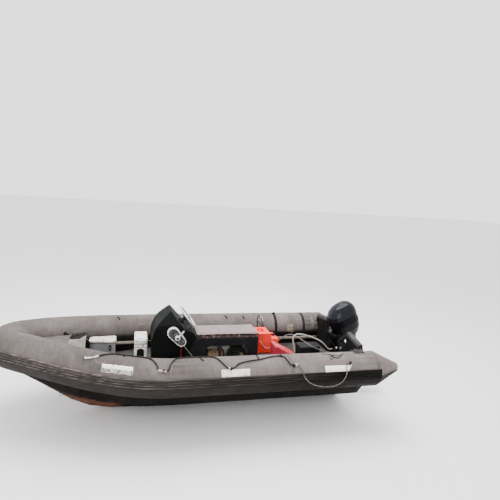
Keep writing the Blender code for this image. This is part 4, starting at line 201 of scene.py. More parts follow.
def tube_material():
    """Coated fabric: chalky blotches, old ring stains, water streaks, and painted shade underneath."""
    made, nt, shader = tree("weathered_and_shade_painted_tube_fabric", shine=0.12)
    where = coordinates(nt)
    colour = ramp(
        nt,
        speckle(nt, where, 2.2, 9, 0.62, 0.6),
        [
            (0.25, (0.062, 0.052, 0.049)),
            (0.45, (0.092, 0.077, 0.073)),
            (0.60, (0.118, 0.099, 0.094)),
            (0.80, (0.168, 0.142, 0.135)),
        ],
    )
    streaks = coordinates(nt, (9, 2, 2))
    run = grey(nt, speckle(nt, streaks, 3.0, 6, 0.7), 0.84, 1.14, 0.35, 0.68)
    colour = mix(nt, 0.75, colour, run, "MULTIPLY")
    fleck = grey(nt, speckle(nt, where, 55, 4, 0.7), 0.80, 1.22, 0.32, 0.70)
    colour = mix(nt, 0.55, colour, fleck, "MULTIPLY")
    cells = nt.nodes.new("ShaderNodeTexVoronoi")
    cells.inputs["Scale"].default_value = 3.2
    nt.links.new(where, cells.inputs["Vector"])
    ring = ramp(
        nt,
        cells.outputs["Distance"],
        [(0.20, (0, 0, 0)), (0.235, (1, 1, 1)), (0.25, (1, 1, 1)), (0.29, (0, 0, 0))],
    )
    broken = grey(nt, speckle(nt, where, 7, 4), 0.0, 0.42, 0.45, 0.65)
    colour = mix(nt, maths(nt, "MULTIPLY", ring, broken), colour, (0.20, 0.172, 0.164))
    scuff = coordinates(nt, (3, 14, 14))
    pale = grey(nt, speckle(nt, scuff, 9, 8, 0.75), 0.0, 0.55, 0.60, 0.72)
    colour = mix(nt, pale, colour, (0.21, 0.182, 0.172))
    split = nt.nodes.new("ShaderNodeSeparateXYZ")
    nt.links.new(where, split.inputs["Vector"])
    aft = grey(nt, maths(nt, "MULTIPLY", maths(nt, "ADD", split.outputs["X"], 2.6), 0.2), 0.94, 1.42, 0.30, 1.0)
    colour = mix(nt, 1.0, colour, aft, "MULTIPLY")
    # Painted shade: the chamber darkened low down and towards the stern.
    colour = mix(nt, 1.0, colour, painted_underside_shade(nt, split, where), "MULTIPLY")
    nt.links.new(colour, shader.inputs["Base Color"])
    shine = grey(nt, speckle(nt, where, 8, 6), 0.62, 0.86, 0.3, 0.7)
    nt.links.new(shine, shader.inputs["Roughness"])
    grain = maths(nt, "ADD", speckle(nt, where, 240, 3), maths(nt, "MULTIPLY", speckle(nt, where, 14, 5), 2.0))
    relief(nt, shader, grain, 0.45, 0.0011)
    return made


def strake_material():
    made, nt, shader = tree("chalked_and_shade_painted_strake_rubber", shine=0.05)
    where = coordinates(nt)
    faces = nt.nodes.new("ShaderNodeSeparateXYZ")
    normal = nt.nodes.new("ShaderNodeNewGeometry")
    nt.links.new(normal.outputs["Normal"], faces.inputs["Vector"])
    split = nt.nodes.new("ShaderNodeSeparateXYZ")
    nt.links.new(where, split.inputs["Vector"])
    base = ramp(
        nt,
        speckle(nt, where, 5, 8, 0.65, 0.4),
        [(0.3, (0.016, 0.0135, 0.0125)), (0.7, (0.040, 0.034, 0.031))],
    )
    long_way = coordinates(nt, (0.4, 6, 18))
    chalk = grey(nt, speckle(nt, long_way, 5, 8, 0.7), 0.08, 0.9, 0.42, 0.58)
    upward = grey(nt, faces.outputs["Z"], 0.02, 1.0, 0.10, 0.7)
    share = maths(nt, "MULTIPLY", chalk, upward)
    colour = mix(nt, share, base, (0.185, 0.157, 0.145))
    # Painted shade: the strake darkened towards the stern.
    aft = grey(nt, maths(nt, "MULTIPLY", maths(nt, "ADD", split.outputs["X"], 2.6), 0.2), 0.95, 0.12, 0.20, 0.85)
    colour = mix(nt, 1.0, colour, aft, "MULTIPLY")
    nt.links.new(colour, shader.inputs["Base Color"])
    shader.inputs["Roughness"].default_value = 0.78
    relief(nt, shader, speckle(nt, where, 120, 5), 0.5, 0.0008)
    return made


def hull_material():
    """Dark gelcoat darkened to near black by painted shade, with a red-brown, salt-streaked forefoot."""
    made, nt, shader = tree("worn_and_shade_painted_hull_gelcoat", shine=0.03)
    where = coordinates(nt)
    # Painted shade: the hull body near black; only the low forefoot shows red-brown.
    dark = ramp(
        nt,
        speckle(nt, where, 4, 8, 0.65, 0.5),
        [(0.3, (0.003, 0.0028, 0.0025)), (0.7, (0.010, 0.009, 0.008))],
    )
    rust = ramp(
        nt,
        speckle(nt, where, 9, 9, 0.7, 1.2),
        [
            (0.30, (0.020, 0.013, 0.010)),
            (0.45, (0.075, 0.036, 0.024)),
            (0.58, (0.135, 0.040, 0.022)),
            (0.74, (0.17, 0.125, 0.100)),
        ],
    )
    split = nt.nodes.new("ShaderNodeSeparateXYZ")
    nt.links.new(where, split.inputs["Vector"])
    ragged = maths(nt, "MULTIPLY", speckle(nt, where, 5, 6, 0.7), 0.22)
    ahead = maths(nt, "SUBTRACT", maths(nt, "MULTIPLY", split.outputs["X"], -1.0), ragged)
    fore = grey(nt, maths(nt, "SUBTRACT", ahead, 0.86), 0.0, 1.0, 0.0, 0.14)
    low = grey(nt, maths(nt, "ADD", split.outputs["Z"], ragged), 1.0, 0.0, 0.36, 0.50)
    share = maths(nt, "MULTIPLY", fore, low)
    nt.links.new(mix(nt, share, dark, rust), shader.inputs["Base Color"])
    shine = grey(nt, speckle(nt, where, 20, 5), 0.45, 0.75, 0.3, 0.7)
    nt.links.new(shine, shader.inputs["Roughness"])
    relief(nt, shader, speckle(nt, where, 60, 6), 0.5, 0.001)
    return made


def cushion_material():
    """Faded vinyl: pink-grey on top, worn brown round the sides."""
    made, nt, shader = tree("faded_cushion_vinyl", sheen=0.1)
    where = coordinates(nt)
    top = ramp(
        nt,
        speckle(nt, where, 3.5, 8, 0.6, 0.4),
        [(0.3, (0.135, 0.098, 0.100)), (0.55, (0.185, 0.138, 0.143)), (0.8, (0.245, 0.190, 0.192))],
    )
    cells = nt.nodes.new("ShaderNodeTexVoronoi")
    cells.inputs["Scale"].default_value = 19
    squat = coordinates(nt, (1, 1, 0.8))
    nt.links.new(squat, cells.inputs["Vector"])
    band = ramp(
        nt,
        cells.outputs["Distance"],
        [(0.08, (0.155, 0.095, 0.072)), (0.30, (0.075, 0.042, 0.032)), (0.50, (0.018, 0.011, 0.009))],
    )
    faces = nt.nodes.new("ShaderNodeSeparateXYZ")
    normal = nt.nodes.new("ShaderNodeNewGeometry")
    nt.links.new(normal.outputs["Normal"], faces.inputs["Vector"])
    ragged = maths(nt, "MULTIPLY", speckle(nt, where, 30, 3), 0.30)
    share = grey(nt, maths(nt, "ADD", faces.outputs["Z"], ragged), 0.0, 1.0, 0.84, 0.94)
    nt.links.new(mix(nt, share, band, top), shader.inputs["Base Color"])
    shader.inputs["Roughness"].default_value = 0.55
    relief(nt, shader, speckle(nt, where, 220, 4), 0.5, 0.0006)
    return made


tube_skin = tube_material()
strake_skin = strake_material()
hull_skin = hull_material()
cushion_skin = cushion_material()
def plain(name, dark, light, rough, patch=6, fine=90.0, depth=0.0006, **look_of):
    return surface(name, [(0.3, dark), (0.7, light)], rough, patch, fine, depth, **look_of)


deck_skin = plain("sanded_deck_paint", (0.016, 0.014, 0.0125), (0.052, 0.046, 0.041), (0.6, 0.85), 5, 140)
board_skin = plain("dark_transom_paint", (0.003, 0.003, 0.003), (0.012, 0.011, 0.0105), (0.45, 0.7), 6, shine=0.08)
trim_skin = plain("grey_rubber_trim", (0.028, 0.027, 0.030), (0.072, 0.070, 0.074), (0.55, 0.8), 9, shine=0.12)
inwale_skin = plain("cream_inwale_gelcoat", (0.16, 0.135, 0.105), (0.34, 0.30, 0.25), (0.45, 0.7), 16)
locker_skin = plain("blue_grey_locker_plastic", (0.15, 0.148, 0.160), (0.24, 0.236, 0.250), (0.5, 0.7), 7)
zinc_skin = plain("dull_zinc", (0.20, 0.20, 0.20), (0.34, 0.34, 0.34), (0.35, 0.55), 20, metallic=1.0)
white_skin = surface("scuffed_white_gelcoat", [(0.30, (0.12, 0.10, 0.07)), (0.40, (0.46, 0.44, 0.40)), (0.62, (0.80, 0.79, 0.75))], (0.3, 0.55), 11)
wheel_skin = plain("worn_white_rim", (0.40, 0.40, 0.385), (0.66, 0.66, 0.64), (0.35, 0.5), 14)
gloss_skin = plain("glossy_black_gelcoat", (0.0015, 0.0018, 0.0018), (0.0055, 0.006, 0.006), (0.55, 0.70), 3, 60, 0.0002, shine=0.05)
seat_base_skin = plain("worn_black_gelcoat", (0.005, 0.005, 0.006), (0.017, 0.017, 0.019), (0.24, 0.40), 4, 60, 0.0002, shine=0.16)
black_skin = plain("black_moulding", (0.004, 0.004, 0.0045), (0.013, 0.013, 0.014), (0.4, 0.6), 12, shine=0.12)
canvas_skin = woven("tan_canvas", (0.10, 0.060, 0.032), (0.30, 0.205, 0.125), 0.9, 140)
net_skin = woven("dark_net_cord", (0.004, 0.0045, 0.004), (0.018, 0.018, 0.014), 0.95, 160)
cloth_skin = woven("pale_cloth", (0.26, 0.165, 0.095), (0.52, 0.38, 0.24), 0.95, 120)
rag_skin = woven("dark_rag_cloth", (0.008, 0.008, 0.008), (0.075, 0.068, 0.064), 0.95, 130, patch=30.0)
red_skin = plain("red_fuel_plastic", (0.72, 0.022, 0.014), (0.95, 0.070, 0.045), (0.3, 0.45), 6, 160, 0.0004)
pink_skin = plain("sun_faded_red_plastic", (0.32, 0.010, 0.022), (0.52, 0.056, 0.085), (0.35, 0.5), 9, 160, 0.0004)
motor_skin = plain("black_motor_paint", (0.0012, 0.0012, 0.0016), (0.0042, 0.0046, 0.0060), (0.25, 0.40), 5, 80, 0.00015, shine=0.09)
navy_skin = plain("deep_navy_gloss", (0.0026, 0.0030, 0.0060), (0.0060, 0.0068, 0.0125), (0.16, 0.26), 4, 80, 0.0001, coat=0.10, shine=0.10)
cast_skin = plain("cast_engine_metal", (0.05, 0.05, 0.05), (0.12, 0.12, 0.12), (0.4, 0.6), 20, metallic=0.7)
webbing_skin = woven("black_webbing_weave", (0.003, 0.003, 0.003), (0.012, 0.012, 0.011), 0.85, 260)
brown_webbing_skin = woven("brown_webbing_weave", (0.007, 0.005, 0.004), (0.022, 0.016, 0.012), 0.85, 260)
patch_skin = surface("peeling_white_patch", [(0.28, (0.34, 0.29, 0.27)), (0.42, (0.78, 0.74, 0.71)), (0.7, (0.97, 0.95, 0.93))], (0.5, 0.7), 26)
dirty_patch_skin = surface("pink_stained_patch", [(0.3, (0.42, 0.30, 0.28)), (0.48, (0.74, 0.62, 0.60)), (0.75, (0.90, 0.83, 0.80))], (0.5, 0.7), 22)
torn_skin = surface("torn_patch_backing", [(0.36, (0.10, 0.086, 0.080)), (0.50, (0.22, 0.20, 0.19)), (0.66, (0.55, 0.52, 0.50))], (0.6, 0.8), 30)
stain_skin = surface("tan_glue_stain", [(0.34, (0.10, 0.078, 0.055)), (0.50, (0.19, 0.160, 0.120)), (0.70, (0.30, 0.265, 0.21))], (0.6, 0.8), 28)
dodger_skin = woven("faded_grey_cloth", (0.070, 0.059, 0.056), (0.135, 0.115, 0.109), 0.85, 300, 0.0002, shine=0.12)
# A paler copy of the dodger's cloth: painted light on the flap's raised ridge.
painted_lit_flap_skin = woven("painted_lit_grey_cloth", (0.135, 0.117, 0.112), (0.26, 0.232, 0.224), 0.85, 300, 0.0002, shine=0.12)
tape_skin = surface("seam_tape_fabric", [(0.3, (0.076, 0.064, 0.060)), (0.55, (0.108, 0.091, 0.086)), (0.75, (0.155, 0.132, 0.125))], (0.6, 0.8), 9, shine=0.12)
toggle_skin = plain("varnished_wood", (0.22, 0.165, 0.10), (0.52, 0.45, 0.34), (0.4, 0.6), 30)
net_cord_skin = plain("net_twine", (0.005, 0.006, 0.005), (0.034, 0.035, 0.026), (0.8, 0.95), 25)


def flecked(name):
    """A dark dial plate with small pale marks worn into it."""
    made, nt, shader = tree(name, shine=0.2)
    where = coordinates(nt)
    cells = nt.nodes.new("ShaderNodeTexVoronoi")
    cells.inputs["Scale"].default_value = 110
    nt.links.new(where, cells.inputs["Vector"])
    marks = grey(nt, cells.outputs["Distance"], 1.0, 0.0, 0.18, 0.34)
    some = grey(nt, speckle(nt, where, 28, 4), 0.0, 1.0, 0.46, 0.56)
    dark = ramp(nt, speckle(nt, where, 40, 5), [(0.3, (0.010, 0.012, 0.012)), (0.7, (0.055, 0.060, 0.060))])
    colour = mix(nt, maths(nt, "MULTIPLY", marks, some), dark, (0.42, 0.43, 0.43))
    nt.links.new(colour, shader.inputs["Base Color"])
    shader.inputs["Roughness"].default_value = 0.5
    relief(nt, shader, marks, 0.4, 0.0004)
    return made


face_skin = flecked("speckled_dial_plate")


def lid_material():
    """A white lid over a grey-blue skirt, with a painted shadow along the step between them."""
    made, nt, shader = tree("grimy_white_lid_with_painted_shadow")
    where = coordinates(nt)
    white = ramp(nt, speckle(nt, where, 22, 8, 0.6, 0.3), [(0.30, (0.10, 0.09, 0.08)), (0.44, (0.42, 0.40, 0.37)), (0.66, (0.70, 0.68, 0.64))])
    skirt = ramp(nt, speckle(nt, where, 7, 6), [(0.3, (0.13, 0.128, 0.140)), (0.7, (0.22, 0.216, 0.230))])
    split = nt.nodes.new("ShaderNodeSeparateXYZ")
    nt.links.new(where, split.inputs["Vector"])
    level = maths(nt, "ADD", split.outputs["Z"], maths(nt, "MULTIPLY", speckle(nt, where, 18, 3), 0.006))
    # Painted shadow: a dark line along the step under the lid's edge.
    line = ramp(nt, maths(nt, "SUBTRACT", level, 0.900), [(0.006, (1, 1, 1)), (0.010, (0, 0, 0)), (0.018, (0, 0, 0)), (0.022, (1, 1, 1))])
    colour = mix(nt, grey(nt, maths(nt, "SUBTRACT", level, 0.900), 0.0, 1.0, 0.013, 0.017), skirt, white)
    colour = mix(nt, 1.0, colour, mix(nt, line, (0.10, 0.09, 0.085), (1.0, 1.0, 1.0)), "MULTIPLY")
    nt.links.new(colour, shader.inputs["Base Color"])
    shader.inputs["Roughness"].default_value = 0.5
    relief(nt, shader, speckle(nt, where, 110, 5), 0.5, 0.0005)
    return made


lid_skin = lid_material()


def braided(name, dark, light, rough, pitch, strands=3, depth=0.0005):
    """Rope: strands that cross each other along the piece's own length."""
    made, nt, shader = tree(name)
    along = nt.nodes.new("ShaderNodeUVMap")
    along.uv_map = "along"
    split = nt.nodes.new("ShaderNodeSeparateXYZ")
    nt.links.new(along.outputs["UV"], split.inputs["Vector"])
    turn = maths(nt, "MULTIPLY", split.outputs["X"], tau * strands)
    run = maths(nt, "MULTIPLY", split.outputs["Y"], tau / pitch)
    one = maths(nt, "SINE", maths(nt, "ADD", turn, run))
    two = maths(nt, "SINE", maths(nt, "SUBTRACT", turn, run))
    weave = maths(nt, "MULTIPLY", one, two)
    level = maths(nt, "ADD", maths(nt, "MULTIPLY", weave, 0.5), 0.5)
    worn = ramp(nt, speckle(nt, coordinates(nt), 30, 6, 0.6), [(0.35, dark), (0.68, light)])
    shade = grey(nt, level, 0.65, 1.1)
    nt.links.new(mix(nt, 0.8, worn, shade, "MULTIPLY"), shader.inputs["Base Color"])
    shader.inputs["Roughness"].default_value = rough
    relief(nt, shader, level, 0.8, depth)
    return made


black_cord_skin = braided("black_braid", (0.004, 0.004, 0.0045), (0.022, 0.020, 0.019), 0.8, 0.014)
grey_cord_skin = braided("grey_braid", (0.032, 0.029, 0.027), (0.16, 0.150, 0.138), 0.85, 0.012)
white_cord_skin = braided("white_braid", (0.45, 0.41, 0.37), (0.85, 0.82, 0.78), 0.8, 0.008)
red_cord_skin = braided("red_braid", (0.26, 0.010, 0.014), (0.50, 0.035, 0.045), 0.7, 0.008)
cable_skin = plain("grey_cable_jacket", (0.10, 0.10, 0.097), (0.22, 0.215, 0.21), (0.4, 0.6), 30)
hose_skin = plain("grey_hose_rubber", (0.085, 0.085, 0.082), (0.24, 0.235, 0.225), (0.45, 0.65), 24)
lead_skin = plain("black_lead_jacket", (0.003, 0.003, 0.0035), (0.012, 0.012, 0.012), (0.4, 0.6), 30, shine=0.12)
pale_hose_skin = braided("pale_corrugated_hose", (0.34, 0.34, 0.33), (0.62, 0.62, 0.60), 0.55, 0.009, 0, 0.0012)

skins = {
    tube_skin: ("tube_port", "tube_starboard", "tube_bow_port", "tube_bow_starboard", "cone_port", "cone_starboard"),
    strake_skin: ("strake_port", "strake_starboard", "strake_bow"),
    hull_skin: ("hull",),
    deck_skin: ("deck",),
    board_skin: ("transom",),
    trim_skin: ("transom_cap_port", "transom_cap_starboard", "trim_button"),
    locker_skin: ("bow_locker",),
    zinc_skin: ("bow_eye", "tilt_tube", "drive_shaft"),
    lid_skin: ("bow_locker_lid",),
    white_skin: ("front_step", "throttle_box", "throttle_lever"),
    wheel_skin: ("steering_wheel_rim",),
    gloss_skin: ("console",),
    seat_base_skin: ("seat_base",),
    black_skin: (
        "helm_unit", "steering_wheel_hub", "throttle_grip", "ignition_key", "fuel_cap", "battery_box",
        "battery_lid", "lifeline_anchor_1", "lifeline_anchor_2", "lifeline_anchor_3", "lifeline_anchor_4",
    ),
    red_skin: ("fuel_tank",),
    pink_skin: ("wedge_tank",),
    motor_skin: ("motor_clamp", "swivel_bracket", "midsection", "gearcase", "propeller", "lower_cowl", "upper_cowl"),
    navy_skin: ("hood",),
    cast_skin: ("powerhead",),
}
for skin, names in skins.items():
    for name in names:
        place = nodes[name].material_slots[0]
        place.link = "OBJECT"
        place.material = skin


def link(name, mesh, skin, body="boat"):
    made = bpy.data.objects.new(name, mesh)
    mesh.materials.clear()
    mesh.materials.append(skin)
    bpy.context.scene.collection.objects.link(made)
    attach(made, body)
    return made


def smooth(mesh, angle=40):
    mesh.shade_smooth()
    mesh.set_sharp_from_angle(angle=radians(angle))
    return mesh


def from_bm(name, bm, angle=40):
    mesh = bpy.data.meshes.new(name)
    bmesh.ops.recalc_face_normals(bm, faces=bm.faces)
    bm.to_mesh(mesh)
    bm.free()
    return smooth(mesh, angle)


# Mesh helpers: a rounder copy of a solid, tubes, smooth lines, sheets and knots
def divided(node, levels, crease_angle=35):
    """A finer, rounded copy of a node's mesh, its sharp edges kept."""
    bm = bmesh.new()
    bm.from_mesh(nodes[node].data)
    bmesh.ops.remove_doubles(bm, verts=bm.verts, dist=0.0001)
    bmesh.ops.join_triangles(bm, faces=bm.faces, angle_face_threshold=0.02, angle_shape_threshold=pi)
    crease = bm.edges.layers.float.new("crease_edge")
    for edge in bm.edges:
        if len(edge.link_faces) == 2 and edge.calc_face_angle() > radians(crease_angle):
            edge[crease] = 1.0
    mesh = bpy.data.meshes.new(node)
    bm.to_mesh(mesh)
    bm.free()
    made = bpy.data.objects.new(node, mesh)
    bpy.context.scene.collection.objects.link(made)
    rounder = made.modifiers.new("rounder", "SUBSURF")
    rounder.levels = rounder.render_levels = levels
    graph = bpy.context.evaluated_depsgraph_get()
    fine = bpy.data.meshes.new_from_object(made.evaluated_get(graph))
    bpy.data.objects.remove(made, do_unlink=True)
    return fine


def tube_along(name, path, radius, sides=10, skin=None, body="boat"):
    """A round tube along a path: U once round it, V its length in metres."""
    places = [Vector(p) for p in path]
    count = len(places)
    reach = radius if isinstance(radius, (list, tuple)) else [radius] * count
    bm = bmesh.new()
    layer = bm.loops.layers.uv.new("along")
    rings, runs, run, side = [], [], 0.0, None
    for k, place in enumerate(places):
        ahead = (places[min(k + 1, count - 1)] - places[max(k - 1, 0)]).normalized()
        if side is None:
            side = ahead.orthogonal().normalized()
        else:
            run += (place - places[k - 1]).length
            side = (side - ahead * side.dot(ahead)).normalized()
        other = ahead.cross(side)
        turns = [tau * j / sides for j in range(sides)]
        rings.append([bm.verts.new(place + (side * cos(a) + other * sin(a)) * reach[k]) for a in turns])
        runs.append(run)
    for k in range(count - 1):
        for j in range(sides):
            ahead = (j + 1) % sides
            face = bm.faces.new((rings[k][j], rings[k][ahead], rings[k + 1][ahead], rings[k + 1][j]))
            marks = ((j, k), (j + 1, k), (j + 1, k + 1), (j, k + 1))
            for loop, (a, b) in zip(face.loops, marks):
                loop[layer].uv = (a / sides, runs[b])
    bm.faces.new(list(reversed(rings[0])))
    bm.faces.new(rings[-1])
    return link(name, from_bm(name, bm, 60), skin, body)


def smoothed(points, steps=6):
    """A smooth line through the points, with steps between each two."""
    known = [Vector(p) for p in points]
    known = [known[0] * 2 - known[1], *known, known[-1] * 2 - known[-2]]
    line = []
    for k in range(1, len(known) - 2):
        a, b, c, d = known[k - 1 : k + 3]
        for j in range(steps):
            t = j / steps
            line.append(
                0.5 * (b * 2 + (c - a) * t + (a * 2 - b * 5 + c * 4 - d) * t**2 + (b * 3 - a - c * 3 + d) * t**3)
            )
    return [*line, known[-2]]


def length_of(path):
    return sum((Vector(b) - Vector(a)).length for a, b in zip(path, path[1:]))


def grid(name, rows, skin, thick=0.0, body="boat", closed=False, angle=50):
    """A sheet through rows of points, with its own thickness."""
    bm = bmesh.new()
    layer = bm.loops.layers.uv.new("along")
    made = [[bm.verts.new(p) for p in row] for row in rows]
    span = len(made[0])
    for k in range(len(made) - 1):
        for j in range(span if closed else span - 1):
            ahead = (j + 1) % span
            face = bm.faces.new((made[k][j], made[k][ahead], made[k + 1][ahead], made[k + 1][j]))
            marks = ((j, k), (j + 1, k), (j + 1, k + 1), (j, k + 1))
            for loop, (a, b) in zip(face.loops, marks):
                loop[layer].uv = (a / (span - 1), b / (len(made) - 1))
    mesh = bpy.data.meshes.new(name)
    bm.to_mesh(mesh)
    bm.free()
    piece = link(name, smooth(mesh, angle), skin, body)
    if thick:
        shell = piece.modifiers.new("thickness", "SOLIDIFY")
        shell.thickness = thick
        shell.offset = 0
    return piece


def knot(name, place, along, size, skin, turns=3, thick=None, body="boat"):
    """A small lashing: a cord wound round a line, its two turns crossed over."""
    along = Vector(along).normalized()
    side = along.orthogonal().normalized()
    other = along.cross(side)
    thick = thick or size * 0.28
    line = []
    count = 12 * turns
    for k in range(count + 1):
        share = k / count
        angle = tau * turns * share
        wide = size * (0.62 + 0.12 * sin(3.1 * angle / turns))
        drift = (share - 0.5) * size * 1.5 * cos(angle * 0.5)
        line.append(Vector(place) + along * drift + (side * cos(angle) + other * sin(angle)) * wide)
    line.append(line[-1] + side * size * 0.9 + along * size * 0.4)
    return tube_along(name, line, thick, 8, skin, body)


def tree_of(*objects):
    bm = bmesh.new()
    for one in objects:
        bm.from_mesh(one.data)
    made = BVHTree.FromBMesh(bm)
    bm.free()
    return made


# Inflated chambers: the solids' own shapes, rounder, with slack in their cloth and folds at the bends
def slack(place, normal):
    """How far a chamber's cloth stands out here: long undulations and fine puckers."""
    swell = 0.0030 * noise.fractal(place * 2.1, 1.0, 2.0, 3)
    pucker = 0.0010 * noise.noise(Vector((place.x * 16, place.y * 5, place.z * 5)))
    inner = max(0.0, -normal.y if place.y > 0 else normal.y)
    fold = 0.0
    if place.x < -1.15 and inner > 0.15:
        run = sqrt((place.x + 1.1) ** 2 + place.y**2)
        depth = min(1.0, (-1.15 - place.x) / 0.3) * inner
        wave = sin(run * 42 + 3.0 * noise.noise(place * 3.0))
        fold = -0.006 * depth * max(0.0, wave) ** 3
    return 0.0014 + swell + pucker + fold


def inflated(node, skin):
    mesh = divided(node, 2)
    moves = [v.co + v.normal * slack(v.co, v.normal) for v in mesh.vertices]
    for vertex, place in zip(mesh.vertices, moves):
        vertex.co = place
    made = link(node + "_cloth", smooth(mesh, 40), skin)
    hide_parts(node)
    return made


chambers = {}
for name in ("tube_port", "tube_starboard", "tube_bow_port", "tube_bow_starboard", "cone_port", "cone_starboard"):
    chambers[name] = inflated(name, tube_skin)
near_cloth = tree_of(chambers["tube_port"], chambers["tube_bow_port"], chambers["cone_port"])
far_cloth = tree_of(chambers["tube_starboard"], chambers["tube_bow_starboard"], chambers["cone_starboard"])
cloth = {-1: near_cloth, 1: far_cloth}
axis_y, axis_z = 0.90, 0.79


def on_cloth(px, py, side, proud=0.0):
    for drop in range(24):
        place, normal, _, _ = cloth[side].ray_cast(eye, ray(px, py + 0.3 * drop))
        if place:
            return place + normal * proud, normal


def round_tube(x, angle, side, proud=0.0):
    """The cloth's surface at x, angle up from straight outboard."""
    out = Vector((0, side * cos(angle), sin(angle)))
    start = Vector((x, side * axis_y, axis_z))
    place, normal, _, _ = cloth[side].ray_cast(start, out)
    return (place if place else start + out * 0.23) + out * proud


def hoop(name, x, side, low, high, width, skin, thick=0.0014, lean=0.0, steps=36):
    """A strip round a chamber, between two angles in degrees."""
    rows = []
    for k in range(steps + 1):
        angle = radians(low + (high - low) * k / steps)
        here = x + lean * k / steps
        lanes = (here - width / 2, here, here + width / 2)
        rows.append([round_tube(lane, angle, side, thick * 0.6) for lane in lanes])
    return grid(name, rows, skin, thick)


def sticker(name, corners, side, skin, across=14, down=6, thick=0.0012, ragged=0.0):
    """A patch glued on the cloth where the photo shows its four corners."""
    a, b, c, d = [Vector(p) for p in corners]
    rows = []
    for k in range(down + 1):
        t = k / down
        row = []
        for j in range(across + 1):
            s = j / across
            spot_px = (a * (1 - s) + b * s) * (1 - t) + (d * (1 - s) + c * s) * t
            if ragged and k in (0, down):
                spot_px = spot_px + Vector((0, ragged * noise.noise(Vector((j * 0.9, k, 4.1)))))
            place, normal = on_cloth(*spot_px, side, thick * 0.7)
            row.append(place)
        rows.append(row)
    return grid(name, rows, skin, thick)


def ribbon(name, line, side, width, skin, thick=0.0016, steps=5):
    """A flat strap on the cloth along the photo's line."""
    pixels = smoothed([(x, y, 0) for x, y in line], steps)
    spots = [on_cloth(p.x, p.y, side, thick * 0.7) for p in pixels]
    rows = []
    for k, (place, normal) in enumerate(spots):
        ahead = (spots[min(k + 1, len(spots) - 1)][0] - spots[max(k - 1, 0)][0]).normalized()
        across = ahead.cross(normal).normalized() * width / 2
        rows.append([place - across, place, place + across])
    return grid(name, rows, skin, thick)


# Straps, patches and seam tapes on the chambers
for side, word in ((-1, "port"), (1, "starboard")):
    for k, x in enumerate((-0.452, 1.05, 2.262)):
        hoop(f"seam_tape_{word}_{k + 1}", x, side, 0 if x > 2 else 24, 168, 0.045, tape_skin)
patch_a = sticker("patch_fore", ((102.1, 363.7), (133.4, 367.2), (132.4, 375.5), (101.5, 371.7)), -1, patch_skin, ragged=0.7)
patch_b = sticker("patch_middle", ((221.5, 369.8), (250.2, 368.8), (250.2, 375.8), (221.8, 377.7)), -1, dirty_patch_skin)
patch_c = sticker("patch_aft", ((325.1, 366), (350.8, 365), (348.9, 372.9), (325.9, 372.9)), -1, patch_skin)
far_patch = sticker("patch_far", ((287.0, 324.4), (293.2, 324.6), (293.4, 332.5), (287.0, 331.5)), 1, stain_skin, ragged=0.5)
for k, word in enumerate(("middle", "aft")):
    strap = hoop(f"far_strap_{word}", 1.42 + 0.5 * k, 1, 80, 202, 0.044, (webbing_skin, brown_webbing_skin)[k], 0.0024)
    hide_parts("strap_" + word)

# Free cords: where each leaves the boat, and its line through the solid's own rings
exits = {
    "lifeline_port": (-1.4321, -0.8120, 1.0491),
    "slack_line": (1.1026, -1.0715, 0.9615),
    "throttle_cable": (-0.2265, -0.2978, 0.9619),
    "kill_cord": (-0.2580, -0.2928, 0.9423),
    "fuel_hose": (1.3475, 0.4200, 0.7200),
    "rigging_hose": (1.5350, 0.0500, 0.5704),
}
radii = {
    "lifeline_port": 0.008, "slack_line": 0.007, "throttle_cable": 0.005,
    "kill_cord": 0.0035, "fuel_hose": 0.006, "rigging_hose": 0.010,
}


def centreline(node):
    """The middles of a round cord's rings, from its exit to its far end."""
    bm = bmesh.new()
    bm.from_mesh(nodes[node].data)
    bmesh.ops.remove_doubles(bm, verts=bm.verts, dist=0.00005)
    start = Vector(exits[node])
    ring = {v for v in bm.verts if (v.co - start).length < 2 * radii[node]}
    seen, line = set(), []
    while ring:
        seen |= ring
        line.append(sum((v.co for v in ring), Vector()) / len(ring))
        ring = {e.other_vert(v) for v in ring for e in v.link_edges} - seen
    bm.free()
    return line


routes = {node: centreline(node) for node in exits}

# Free cords, on the solids' own routes
def rope_piece(name, node, skin, sides=12):
    path = smoothed(routes[node], 4)
    radius = radii[node]
    made = tube_along(name, path, radius, sides, skin)
    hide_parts(node)
    return made


def beside(key, px, py):
    """The place on a cord's route nearest the pixel's ray, and the route's direction there."""
    path = routes[key]
    aim = ray(px, py)
    best = min(range(len(path)), key=lambda k: ((path[k] - eye) - aim * (path[k] - eye).dot(aim)).length)
    ahead = path[min(best + 1, len(path) - 1)] - path[max(best - 1, 0)]
    a, b = path[max(best - 1, 0)], path[min(best + 1, len(path) - 1)]
    places = [a.lerp(path[best], t / 8) for t in range(9)] + [path[best].lerp(b, t / 8) for t in range(9)]
    spot_at = min(places, key=lambda p: ((p - eye) - aim * (p - eye).dot(aim)).length)
    return spot_at, ahead.normalized()


def across(place):
    """How far across the photograph a place lies, in its pixels."""
    away = Vector(place) - eye
    return 250 + focal * away.dot(right) / away.dot(look)


def tail(name, pixels, thick, skin):
    """A knot's loose end, lying on the near chamber along the photo's line."""
    line = [on_cloth(px, py, -1, thick)[0] for px, py in pixels]
    return tube_along(name, smoothed(line, 5), thick, 8, skin)


